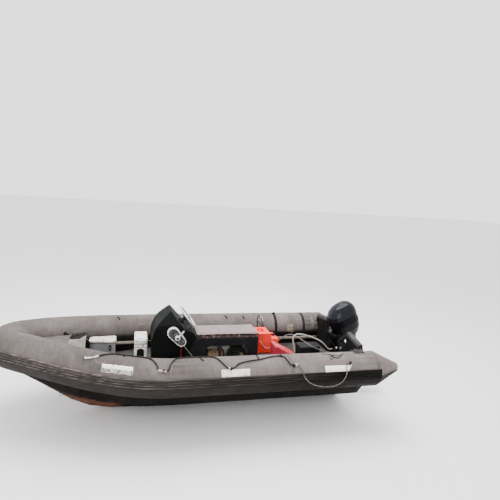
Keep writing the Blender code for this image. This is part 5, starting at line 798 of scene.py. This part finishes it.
for k, (px, py, skin, size, turns) in enumerate((
    (86, 357.5, white_cord_skin, 0.014, 3), (93, 357, black_cord_skin, 0.013, 2), (103, 354, black_cord_skin, 0.012, 2),
    (229.5, 370, white_cord_skin, 0.017, 4), (238, 364, black_cord_skin, 0.012, 2), (281, 356.8, black_cord_skin, 0.021, 5),
)):
    place, ahead = beside("lifeline_port", px, py)
    knot(f"lifeline_lashing_{k + 1}", place, ahead, size, skin, turns, 0.0034)
start_of_rope = [p for p in smoothed(routes["lifeline_port"], 4) if across(p) < 99.5]
tube_along("lifeline_sleeve", start_of_rope[1:], 0.0096, 12, white_cord_skin)
tail("lifeline_tail_1", ((229.6, 370.2), (230.6, 372.5), (231.2, 374.6)), 0.0045, white_cord_skin)
tail("lifeline_tail_2", ((229.8, 370.2), (231.8, 371.4), (231.4, 373.8)), 0.0045, white_cord_skin)
place, ahead = beside("lifeline_port", 162.5, 369)
bead = [place + ahead * d for d in (-0.050, -0.047, -0.040, 0.040, 0.047, 0.050)]
tube_along("lifeline_toggle", bead, [0.0090, 0.0112, 0.0124, 0.0124, 0.0112, 0.0090], 16, toggle_skin)
for k, (px, py, skin, size) in enumerate(((293, 365, white_cord_skin, 0.019), (350.8, 369.5, white_cord_skin, 0.015))):
    place, ahead = beside("slack_line", px, py)
    knot(f"slack_lashing_{k + 1}", place, ahead, size, skin, 4, 0.0038)
tail("slack_tail", ((350.6, 367.5), (351.6, 364.5), (352.4, 362.4)), 0.0045, white_cord_skin)
rope_piece("lifeline_rope", "lifeline_port", black_cord_skin, 12)
rope_piece("slack_rope", "slack_line", grey_cord_skin, 12)
rope_piece("control_cable", "throttle_cable", cable_skin)
end = routes["kill_cord"][-1]
before = (end - routes["kill_cord"][-2]).normalized()
clip = tube_along(
    "kill_cord_clip",
    [end + before * run for run in (-0.004, 0.002, 0.020, 0.024)],
    [0.0045, 0.0055, 0.0055, 0.0035],
    12,
    red_skin,
)
rope_piece("kill_strap", "kill_cord", red_cord_skin, 10)
rope_piece("fuel_line", "fuel_hose", hose_skin)
rope_piece("rigging_tube", "rigging_hose", pale_hose_skin, 14)


# Dodger: a cloth stretched over the bow, with a folded hem
def stretched(node, skin, across=24, along=20):
    """The node's top surface as one sheet, sagging a little between the chambers."""
    low, high = [Vector(c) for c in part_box(node)]
    bm = bmesh.new()
    bm.from_mesh(nodes[node].data)
    top = BVHTree.FromBMesh(bm)
    rows = []
    for k in range(along + 1):
        x = low.x + (high.x - low.x) * k / along
        x = min(max(x, low.x + 0.002), high.x - 0.002)
        marks = []
        for j in range(61):
            y = low.y + (high.y - low.y) * j / 60
            hit = top.ray_cast(Vector((x, y, high.z + 0.2)), Vector((0, 0, -1)))
            if hit[0]:
                marks.append(hit[0])
        first, last = marks[0].y, marks[-1].y
        row = []
        for j in range(across + 1):
            y = first + (last - first) * j / across
            hit = top.ray_cast(Vector((x, y, high.z + 0.2)), Vector((0, 0, -1)))[0]
            height = hit.z if hit else min(marks, key=lambda p: abs(p.y - y)).z
            s = j / across
            sag = 0.006 * sin(pi * s) * sin(pi * k / along)
            ripple = 0.0018 * noise.noise(Vector((x * 10, y * 16, 2.0)))
            row.append(Vector((x, y, min(height - sag + ripple, high.z))))
        rows.append(row)
    bm.free()
    made = grid(node + "_cloth", rows, skin, 0.0015, angle=60)
    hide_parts(node)
    area = sum(p.area for p in made.data.polygons)
    wide = max(length_of(row) for row in rows)
    deep = length_of([row[across // 2] for row in rows])
    return made, rows, wide, deep, area


dodger, dodger_rows, wide, deep, area = stretched("bow_dodger", dodger_skin)
hem_line = [p + Vector((0, 0, 0.001)) for p in dodger_rows[-1]]
hem = tube_along("dodger_hem", hem_line, 0.004, 8, dodger_skin)


# Seat cushion: swollen by cloth simulation from a smaller shape, then its side band gathered
def stuffed(node, shrink, voxel, cap):
    """A node's pad under inner pressure: remeshed, simulated, kept within cap of its start."""
    mesh = nodes[node].data.copy()
    bm = bmesh.new()
    bm.from_mesh(mesh)
    bmesh.ops.remove_doubles(bm, verts=bm.verts, dist=0.0001)
    bm.normal_update()
    for vertex in bm.verts:
        inward = Vector((vertex.normal.x, vertex.normal.y, max(0.0, vertex.normal.z)))
        vertex.co -= inward * shrink
    bm.to_mesh(mesh)
    bm.free()
    pad = bpy.data.objects.new(node + "_pad", mesh)
    bpy.context.scene.collection.objects.link(pad)
    grain = pad.modifiers.new("grain", "REMESH")
    grain.mode = "VOXEL"
    grain.voxel_size = voxel
    graph = bpy.context.evaluated_depsgraph_get()
    fine = bpy.data.meshes.new_from_object(pad.evaluated_get(graph))
    pad.modifiers.clear()
    pad.data = fine
    start = [v.co.copy() for v in fine.vertices]
    low = min(p.z for p in start)
    held = pad.vertex_groups.new(name="held")
    held.add([k for k, p in enumerate(start) if p.z < low + voxel * 0.6], 1.0, "REPLACE")
    swell = pad.modifiers.new("swell", "CLOTH")
    settings = swell.settings
    settings.quality = 6
    settings.use_pressure = True
    settings.uniform_pressure_force = 4.0
    settings.tension_stiffness = settings.compression_stiffness = 20
    settings.bending_stiffness = 0.8
    settings.effector_weights.gravity = 0.0
    settings.vertex_group_mass = "held"
    swell.collision_settings.use_collision = False
    swell.point_cache.frame_start, swell.point_cache.frame_end = 1, 20
    scene = bpy.context.scene
    for frame_number in range(1, 21):
        scene.frame_set(frame_number)
    graph = bpy.context.evaluated_depsgraph_get()
    swollen = bpy.data.meshes.new_from_object(pad.evaluated_get(graph))
    pad.modifiers.clear()
    for vertex, place, first in zip(fine.vertices, swollen.vertices, start):
        move = place.co - first
        vertex.co = first + move * min(1.0, cap / max(move.length, 1e-6))
    scene.frame_set(1)
    bpy.data.objects.remove(pad, do_unlink=True)
    return fine


pad_low, pad_high = [Vector(c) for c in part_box("seat_cushion")]
pad_mesh = stuffed("seat_cushion", 0.006, 0.006, 0.010)
for vertex in pad_mesh.vertices:
    place = vertex.co
    share = (place.z - pad_low.z) / (pad_high.z - pad_low.z)
    flatness = abs(vertex.normal.z)
    if flatness < 0.75 and 0.08 < share < 0.9:
        run = place.x if abs(vertex.normal.y) > abs(vertex.normal.x) else place.y
        gather = abs(sin(pi * run / 0.034)) ** 0.6
        place += Vector((vertex.normal.x, vertex.normal.y, 0)) * (0.0045 * (gather - 0.6) * (1 - flatness))
    elif vertex.normal.z > 0.5:
        wear = noise.fractal(place * 7.0, 1.0, 2.0, 3)
        place.z += 0.0022 * wear - 0.0016
    place.z = max(place.z, pad_low.z)
cushion = link("seat_cushion_pad", smooth(pad_mesh, 60), cushion_skin)
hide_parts("seat_cushion")


# Canvas bundle: one length of canvas folded to and fro, its outer turn drawn over the front
def folded(name, low, high, layers, skin, seed, thick=0.0022, lanes=16):
    rise = (high.z - low.z - 0.02) / layers
    line = []
    for k in range(layers):
        near = low.x + 0.018 + 0.020 * noise.noise(Vector((k * 1.7, seed, 0)))
        far = high.x - 0.018 - 0.028 * abs(noise.noise(Vector((k * 2.3, seed, 7))))
        ends = (near, far) if k % 2 == 0 else (far, near)
        height = low.z + 0.008 + rise * (k + 0.5)
        for j in range(17):
            t = j / 16
            x = ends[0] + (ends[1] - ends[0]) * t
            line.append((x, height + 0.35 * rise * sin(pi * t) * (k / layers)))
        if k < layers - 1:
            bend = 1 if k % 2 == 0 else -1
            for j in range(1, 6):
                a = -pi / 2 + pi * j / 6
                line.append((ends[1] + bend * rise * 0.5 * cos(a), height + rise * 0.5 * (1 + sin(a))))
    rows = []
    for x, z in line:
        row = []
        for j in range(lanes + 1):
            s = j / lanes
            y = low.y + 0.012 + (high.y - low.y - 0.024) * s
            where = Vector((x * 9, y * 9, z * 14 + seed))
            shift = noise.noise_vector(where) * 0.0065
            edge = (abs(s - 0.5) * 2) ** 4
            drop = 0.018 * edge * (z - low.z) / (high.z - low.z)
            place = Vector((x, y + 0.010 * noise.noise(where * 0.7), z - drop)) + shift
            place.x = min(max(place.x, low.x), high.x)
            place.z = min(max(place.z, low.z + 0.001), high.z)
            row.append(place)
        rows.append(row)
    made = grid(name, rows, skin, thick, angle=70)
    return made


low, high = [Vector(c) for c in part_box("canvas_bundle")]
canvas = folded("canvas_folds", low, high, 6, canvas_skin, 3.0)
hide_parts("canvas_bundle")


def draped(name, low, high, x0, x1, skin, seed):
    """Cloth over the top of a bundle and down its side towards the port tube."""
    down = [
        (high.y - 0.03, high.z - 0.030), (0.0, high.z - 0.004), (low.y + 0.05, high.z - 0.006), (low.y + 0.012, high.z - 0.022),
        (low.y + 0.001, high.z - 0.060), (low.y + 0.004, high.z - 0.105), (low.y + 0.010, low.z + 0.006),
    ]
    line = smoothed([(0, y, z) for y, z in down], 7)
    rows = []
    for k, place in enumerate(line):
        row = []
        for j in range(19):
            s = j / 18
            where = Vector((s * 3.2, k * 0.09, seed))
            x = x0 + (x1 - x0) * s + 0.010 * noise.noise(where * 1.3)
            crest = 0.006 * noise.fractal(where * 1.6, 1.0, 2.0, 4)
            end = (abs(s - 0.5) * 2) ** 5
            row.append(Vector((x, min(max(place.y - crest, low.y), high.y), min(place.z - 0.02 * end + crest, high.z))))
        rows.append(row)
    made = grid(name, rows, skin, 0.002, angle=70)
    return made


draped("canvas_cover", low, high, low.x + 0.004, low.x + 0.165, canvas_skin, 5.0)


def girth(name, low, high, x, lean, width, skin, thick=0.002):
    """A webbing strap right round a bundle, resting on it."""
    rows = []
    line = []
    for cy, cz, first in (
        (high.y - 0.035, high.z - 0.045, 0), (low.y + 0.035, high.z - 0.045, 90),
        (low.y + 0.020, low.z + 0.022, 180), (high.y - 0.020, low.z + 0.022, 270),
    ):
        reach_y = 0.033 if first < 180 else 0.018
        reach_z = 0.043 if first < 180 else 0.019
        for k in range(6):
            a = radians(first + 90 * k / 5)
            line.append((cy + reach_y * cos(a), cz + reach_z * sin(a)))
    line.append(line[0])
    for k, (y, z) in enumerate(line):
        here = x + lean * (y - low.y) / (high.y - low.y)
        rows.append([Vector((here + width * t, y, z)) for t in (-0.5, 0, 0.5)])
    return grid(name, rows, skin, thick, angle=70)


girth("canvas_strap_fore", low, high, low.x + 0.178, 0.01, 0.026, webbing_skin)
girth("canvas_strap_aft", low, high, low.x + 0.240, -0.015, 0.022, webbing_skin)

# Net bundle: gathered dark cloth under a heap of knotted net, a pale rag beneath
low, high = [Vector(c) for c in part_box("net_bundle")]


def heap(low, high, seed, swell, rough, rings=18, sides=40):
    """A lopsided mound's rows of points, from its rim on the floor to its crown."""
    centre = (low + high) / 2
    half = (high - low) / 2
    rows = []
    for k in range(rings + 1):
        t = k / rings
        shrink = cos(t * pi / 2) ** 0.62 if k < rings else 0.02
        row = []
        for j in range(sides):
            a = tau * j / sides
            where = Vector((cos(a) * 1.4, sin(a) * 1.4, t * 2 + seed))
            bump = 1 + rough * noise.fractal(where * 1.7, 1.0, 2.0, 4)
            x = centre.x + 0.02 * t + half.x * swell * shrink * cos(a) * bump
            y = centre.y + half.y * swell * shrink * sin(a) * bump
            z = low.z + (high.z - low.z) * swell * (sin(t * pi / 2) ** 0.9) * (1 + 0.5 * rough * noise.noise(where * 2))
            row.append(Vector((min(max(x, low.x), high.x), min(max(y, low.y), high.y), min(max(z, low.z + 0.002), high.z))))
        rows.append(row)
    return rows


def net_over(name, rows, thick, skin, turn):
    """Cords along both diagonals of the rows: a net's diamonds, joined into one mesh."""
    bm = bmesh.new()
    sides = len(rows[0])
    for way in (1, -1):
        for start in range(0, sides, 2):
            line = [rows[k][(start + way * k + turn) % sides] for k in range(len(rows))]
            for k in range(len(line) - 1):
                ahead = (line[k + 1] - line[k]).normalized()
                side = ahead.orthogonal().normalized()
                other = ahead.cross(side)
                made = []
                for place in (line[k], line[k + 1]):
                    made.append([bm.verts.new(place + (side * cos(tau * m / 4) + other * sin(tau * m / 4)) * thick) for m in range(4)])
                for m in range(4):
                    bm.faces.new((made[0][m], made[0][(m + 1) % 4], made[1][(m + 1) % 4], made[1][m]))
    return link(name, from_bm(name, bm, 80), skin)


inner = heap(low, high, 1.0, 0.88, 0.16)
mound = grid("net_core", inner, net_skin, 0.0015, closed=True, angle=80)
nets = [
    net_over("net_outer", heap(low, high, 4.0, 0.985, 0.34, 16, 36), 0.0022, net_cord_skin, 0),
    net_over("net_middle", heap(low, high, 7.0, 0.94, 0.40, 18, 44), 0.0020, net_cord_skin, 1),
]
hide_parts("net_bundle")


# Bow: a loose flap behind the dodger, a rolled patch and a fitting's ring
def bow_flap(rows_from, x_end, y_end):
    """The dodger's slack aft end, drawn up in a ridge between the near tube and the locker."""
    first_row = rows_from[-1]
    rows = []
    for k in range(15):
        t = k / 14
        x = first_row[0].x + 0.002 + (x_end - first_row[0].x) * t
        hit = near_cloth.ray_cast(Vector((x, 0.0, 0.955)), Vector((0, -1, 0)))[0]
        row = []
        for j in range(19):
            s = j / 18
            y = hit.y + 0.004 + (y_end - hit.y - 0.004) * s
            near = min(first_row, key=lambda p: abs(p.y - y))
            ridge = 0.120 * t**1.4 * 2.718 ** (-(((s - 0.60) / 0.19) ** 2))
            ripple = 0.004 * noise.noise(Vector((x * 14, y * 18, 6.0)))
            row.append(Vector((x, y, near.z * (1 - t) + 0.955 * t + 0.003 + ridge + ripple)))
        rows.append(row)
    # The flap's cloth is painted paler than the dodger's: painted light on its ridge.
    made = grid("bow_flap", rows, painted_lit_flap_skin, 0.0015, angle=60)


bow_flap(dodger_rows, -1.480, 0.04)
cloth[2] = tree_of(chambers["tube_bow_starboard"], dodger)
sticker("rolled_patch", ((72.0, 333.4), (86.5, 332.0), (86.5, 335.0), (72.0, 336.4)), 2, rag_skin, 16, 6, 0.004, 0.5)
for k, line in enumerate((((64.6, 332.2), (70.6, 336.8)), ((64.6, 332.2), (64.4, 337.2)), ((64.4, 337.0), (70.6, 336.8)))):
    ribbon(f"bow_ring_side_{k + 1}", line, 2, 0.026, webbing_skin, 0.004)

# Small ties, ladder and knots on the chambers
for k, (side, line) in enumerate((
    (-1, ((121.6, 353.6), (123.4, 355.0), (124.6, 357.0))), (-1, ((199.6, 357.2), (201.4, 359.4), (203.6, 361.2))),
    (-1, ((256.4, 355.2), (257.6, 357.0), (258.8, 359.4))), (1, ((117.6, 317.0), (119.0, 318.4), (119.8, 320.0))),
    (1, ((224.6, 315.6), (226.0, 316.8), (227.0, 318.6))), (1, ((242.4, 315.8), (243.4, 317.4), (244.2, 319.2))),
)):
    ribbon(f"tie_{k + 1}", line, side, 0.020, webbing_skin, 0.004)
for k, (line, wide, skin) in enumerate((
    (((258.2, 315.0), (257.0, 320.5), (257.6, 325.0), (256.4, 329.0), (260.0, 333.4)), 0.016, webbing_skin),
    (((258.2, 315.0), (261.6, 318.5), (262.0, 322.5), (264.0, 327.5), (265.0, 333.0)), 0.012, webbing_skin),
    (((257.2, 320.5), (259.6, 322.6), (262.2, 326.5)), 0.012, webbing_skin),
    (((260.4, 316.0), (262.2, 318.2), (262.6, 321.0)), 0.008, white_cord_skin),
)):
    ribbon(f"webbing_ladder_{k + 1}", line, 1, wide, skin, 0.0024)
for k, (x, angle, size) in enumerate(((1.42, 96, 0.022), (1.42, 150, 0.012))):
    knot(f"strap_knot_{k + 1}", round_tube(x, radians(angle), 1, 0.006), (0.3, 1, 0), size, webbing_skin, 4, 0.0075)
hoop("end_tape_starboard", 2.10, 1, 60, 178, 0.080, tape_skin)
sticker("patch_tear", ((102.0, 367.6), (132.6, 371.2), (132.2, 375.2), (102.2, 371.4)), -1, torn_skin, 18, 4, 0.0030, 1.1)


# Moulded and rigid details
def loft(name, rings, skin, body="boat", angle=40):
    """A closed form through rings of points, capped at both ends."""
    bm = bmesh.new()
    made = [[bm.verts.new(p) for p in ring] for ring in rings]
    span = len(made[0])
    for a, b in zip(made, made[1:]):
        for j in range(span):
            bm.faces.new((a[j], a[(j + 1) % span], b[(j + 1) % span], b[j]))
    bm.faces.new(list(reversed(made[0])))
    bm.faces.new(made[-1])
    return link(name, from_bm(name, bm, angle), skin, body)


def rounded_ring(cx, cy, half_x, half_y, corner, steps=5):
    """A rounded rectangle's outline, as pairs."""
    line = []
    for sx, sy, first in ((1, 1, 0), (-1, 1, 90), (-1, -1, 180), (1, -1, 270)):
        for k in range(steps):
            a = radians(first + 90 * k / (steps - 1))
            line.append((cx + sx * (half_x - corner) + corner * cos(a), cy + sy * (half_y - corner) + corner * sin(a)))
    return line


def plate(name, face_y, thick, cx, cz, half_x, half_z, corner, skin, body="boat"):
    """A pad with rounded corners and edges, standing off a port-facing wall."""
    rings = []
    for share, shrink in ((0.0, 0.0), (0.7, 0.0), (0.93, 0.12), (1.0, 0.35)):
        inset = shrink * thick
        ring = rounded_ring(cx, cz, half_x - inset, half_z - inset, corner)
        rings.append([Vector((x, face_y - thick * share, z)) for x, z in ring])
    return loft(name, rings, skin, body)


inwale = [(-1.458, 0.404, 0.7545), (-1.20, 0.508, 0.7260), (-0.93, 0.594, 0.6965), (-0.70, 0.646, 0.6840), (-0.45, 0.6655, 0.6765), (2.160, 0.6655, 0.6765)]
for side, word in ((-1, "port"), (1, "starboard")):
    line = smoothed([(x, y, z) for x, y, z in inwale], 8)
    rows = []
    for k, p in enumerate(line):
        wander = 0.0012 * noise.noise(Vector((p.x * 4, side, 3.0)))
        out = Vector((0, side, 0))
        here = Vector((p.x, side * p.y, p.z + wander))
        offsets = ((-0.0045, -0.034), (-0.0065, -0.030), (-0.0065, -0.002), (-0.003, 0.0035), (0.022, 0.0040), (0.024, 0.0008))
        rows.append([here + out * a + Vector((0, 0, b)) for a, b in offsets])
    grid(f"inwale_trim_{word}", rows, inwale_skin, 0.0016)

# Throttle box: its sunk face, as a speckled plate round the lever's hub and the key
bm = bmesh.new()
bm.from_mesh(nodes["throttle_box"].data)
bmesh.ops.delete(
    bm,
    geom=[f for f in bm.faces if f.normal.y > -0.99 or abs(f.calc_center_median().y + 0.3153) > 0.0006],
    context="FACES",
)
for vertex in bm.verts:
    vertex.co.y -= 0.0005
link("throttle_face", from_bm("throttle_face", bm), face_skin)
hub = Vector((-0.315, -0.3526, 1.078))


def disc(name, centre, rings, skin, body):
    """A turned cap facing port: pairs of radius and how far it stands out."""
    made = [[centre + Vector((r * cos(tau * k / 28), -out, r * sin(tau * k / 28))) for k in range(28)] for r, out in rings]
    return loft(name, made, skin, body)


disc("lever_hub_cap", hub, ((0.0185, -0.0004), (0.0185, 0.0016), (0.0165, 0.0026), (0.0105, 0.0030), (0.0090, 0.0014), (0.004, 0.0012)), face_skin, "throttle")

# Step box: the arch in its port side, painted shadow lines and small catches
arch = []
for k in range(13):
    a = pi * k / 12
    arch.append((-0.787 + 0.048 * cos(a), 0.850 + 0.036 * sin(a)))
arch += [(-0.835, 0.60), (-0.739, 0.60)]
centre = (-0.787, 0.74)
rings = []
for y, share in ((-0.1699, 1.0), (-0.1712, 1.0), (-0.1714, 0.9)):
    rings.append([Vector((centre[0] + (x - centre[0]) * share, y, centre[1] + (z - centre[1]) * share)) for x, z in arch])
loft("step_arch", rings, black_skin)
# Painted shadow lines: dark strips along the step box's grooves.
for k, z in enumerate((0.952, 0.905)):
    plate(f"step_painted_shadow_line_{k + 1}", -0.1699, 0.0016, -0.785, z, 0.078, 0.0032, 0.003, trim_skin)
for k, (x, z, half) in enumerate(((-0.832, 0.985, 0.009), (-0.755, 0.925, 0.012), (-0.815, 0.925, 0.006))):
    plate(f"step_catch_{k + 1}", -0.1699, 0.006, x, z, half, 0.006, 0.004, black_skin)

# Locker: a latch under its lid
plate("locker_latch", 0.0031, 0.008, -1.188, 0.842, 0.016, 0.038, 0.006, black_skin)
plate("locker_latch_pull", -0.0045, 0.005, -1.188, 0.838, 0.009, 0.022, 0.005, zinc_skin)

# Outboard: a rubber boot under the cowl's front, where its leads go in
rings = []
for cx, half_x, half_y, z in (
    (2.150, 0.020, 0.080, 0.818), (2.150, 0.030, 0.096, 0.826), (2.152, 0.042, 0.118, 0.852), (2.160, 0.072, 0.128, 0.885),
    (2.168, 0.112, 0.130, 0.925), (2.170, 0.120, 0.128, 0.965), (2.172, 0.112, 0.118, 0.990),
):
    ring = rounded_ring(cx, 0, half_x, half_y, min(half_x, half_y) * 0.75)
    rings.append([Vector((x, y, z + 0.45 * (x - cx) * min(1.0, (1.0 - z) * 8))) for x, y in ring])
loft("cowl_boot", rings, motor_skin, "outboard", 50)

# Splash flaps on the well's lower edge, either side of the bracket
for side, word in ((-1, "port"), (1, "starboard")):
    rows = []
    for k in range(9):
        s = k / 8
        row = []
        for j in range(11):
            y = 0.172 + 0.165 * j / 10
            fall = 0.012 * sin(pi * j / 10) * s + 0.004 * noise.noise(Vector((y * 20, s * 3, side)))
            crest = 0.022 * (abs(2 * j / 10 - 1) ** 3) * s
            row.append(Vector((2.197 - fall, side * y, 0.706 + (0.112 - crest) * s)))
        rows.append(row)
    grid(f"splash_flap_{word}", rows, black_skin, 0.004)

# Loose gear: a rag on the near tube by the transom, leads beside it, and a white cord over the tanks
rows = []
for k in range(17):
    angle = radians(84 + 50 * k / 16)
    row = []
    for j in range(17):
        x = 1.985 + 0.165 * j / 16
        lump = max(0.0, noise.fractal(Vector((x * 11, angle * 5.5, 1.0)), 1.0, 2.0, 4))
        ends = min(1.0, 6 * min(j, 16 - j) / 16) * min(1.0, 6 * min(k, 16 - k) / 16)
        row.append(round_tube(x, angle, -1, 0.004 + ends * (0.012 + 0.040 * lump)))
    rows.append(row)
rag = grid("transom_rag", rows, rag_skin, 0.0016, angle=70)
area = sum(p.area for p in rag.data.polygons)


def eased(path, rounds):
    """The path with each point drawn towards the middle of its neighbours, its ends kept."""
    for _ in range(rounds):
        path = [path[0], *[b * 0.5 + (a + c) * 0.25 for a, b, c in zip(path, path[1:], path[2:])], path[-1]]
    return path


def lying(name, pixels, side, radius, skin, steps=6, rounds=12):
    """A cord lying on a chamber along the photo's line."""
    path = eased(smoothed([on_cloth(px, py, side, radius * 0.9)[0] for px, py in pixels], steps), rounds)
    made = tube_along(name, path, radius, 10, skin)
    return made


lying("lead_loop", ((321.5, 353.6), (326.0, 355.2), (330.5, 354.4), (333.8, 355.6), (333.2, 358.4), (330.4, 360.2), (329.2, 357.6), (331.6, 355.0), (336.5, 356.6), (341.0, 355.4), (344.0, 353.6)), -1, 0.0038, lead_skin, 6, 26)
lying("lead_short", ((327.5, 353.0), (331.0, 356.2), (336.2, 358.4), (340.4, 357.4), (342.0, 354.4)), -1, 0.005, lead_skin)
lying("lead_white", ((326.0, 352.9), (328.4, 354.0), (330.0, 353.4)), -1, 0.0028, white_cord_skin)
tanks = solid_tree("fuel_tank", "wedge_tank", "seat_base")
line = []
for px, py in ((259.8, 341.0), (262.0, 344.6), (264.6, 347.2), (267.4, 348.6), (270.0, 347.6), (274.2, 345.2), (277.0, 345.0), (279.6, 346.4)):
    place, normal, _, _ = tanks.ray_cast(eye, ray(px, py))
    line.append(place + normal * 0.005)
path = eased(smoothed(line, 6), 20)
lashing = tube_along("tank_lashing", path, 0.0045, 10, white_cord_skin)

# Net bundle's rag: a corner of pale cloth hanging out on the port side
low, high = [Vector(c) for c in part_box("net_bundle")]
rows = []
for k in range(13):
    t = k / 12
    row = []
    for j in range(15):
        a = radians(-84 + 70 * j / 14)
        shrink = cos(t * 0.78 * pi / 2) ** 0.62
        lump = 0.05 * noise.fractal(Vector((cos(a) * 3, sin(a) * 3, t * 3)), 1.0, 2.0, 4)
        x = (low.x + high.x) / 2 + (high.x - low.x) / 2 * shrink * cos(a) * (0.99 + lump)
        y = (low.y + high.y) / 2 + (high.y - low.y) / 2 * shrink * sin(a) * (0.99 + lump)
        z = low.z + 0.003 + (high.z - low.z) * 0.80 * sin(t * 0.78 * pi / 2) * (1.0 - 0.30 * abs(2 * j / 14 - 1) ** 2)
        row.append(Vector((min(x, high.x), max(y, low.y), z)))
    rows.append(row)
made = grid("net_rag", rows, cloth_skin, 0.0016, angle=70)
area = sum(p.area for p in made.data.polygons)

# Floor and light
floor_mesh = bpy.data.meshes.new("floor")
reach = 60
floor_mesh.from_pydata([(-reach, -reach, 0), (reach, -reach, 0), (reach, reach, 0), (-reach, reach, 0)], [], [(0, 1, 2, 3)])
floor = bpy.data.objects.new("floor", floor_mesh)
floor_mesh.materials.append(surface("pale_floor", [(0.3, (0.80, 0.80, 0.80)), (0.7, (0.84, 0.84, 0.84))], (0.8, 0.9), 0.5))
bpy.context.scene.collection.objects.link(floor)

world = bpy.data.worlds.new("studio")
bpy.context.scene.world = world
world.use_nodes = True
world.node_tree.nodes["Background"].inputs["Color"].default_value = (1.0, 1.0, 1.0, 1)
world.node_tree.nodes["Background"].inputs["Strength"].default_value = 2.2


def lamp(name, place, target, size, power):
    light = bpy.data.lights.new(name, "AREA")
    light.shape = "DISK"
    light.size = size
    light.energy = power
    made = bpy.data.objects.new(name, light)
    made.location = place
    aim = (Vector(target) - Vector(place)).to_track_quat("-Z", "Y")
    made.rotation_mode = "QUATERNION"
    made.rotation_quaternion = aim
    bpy.context.scene.collection.objects.link(made)


lamp("sky", (0.5, 1.0, 7.0), (0, 0, 0.6), 6.0, 950)
lamp("near_fill", (-3.0, -7.0, 4.5), (0, 0, 0.8), 4.0, 200)
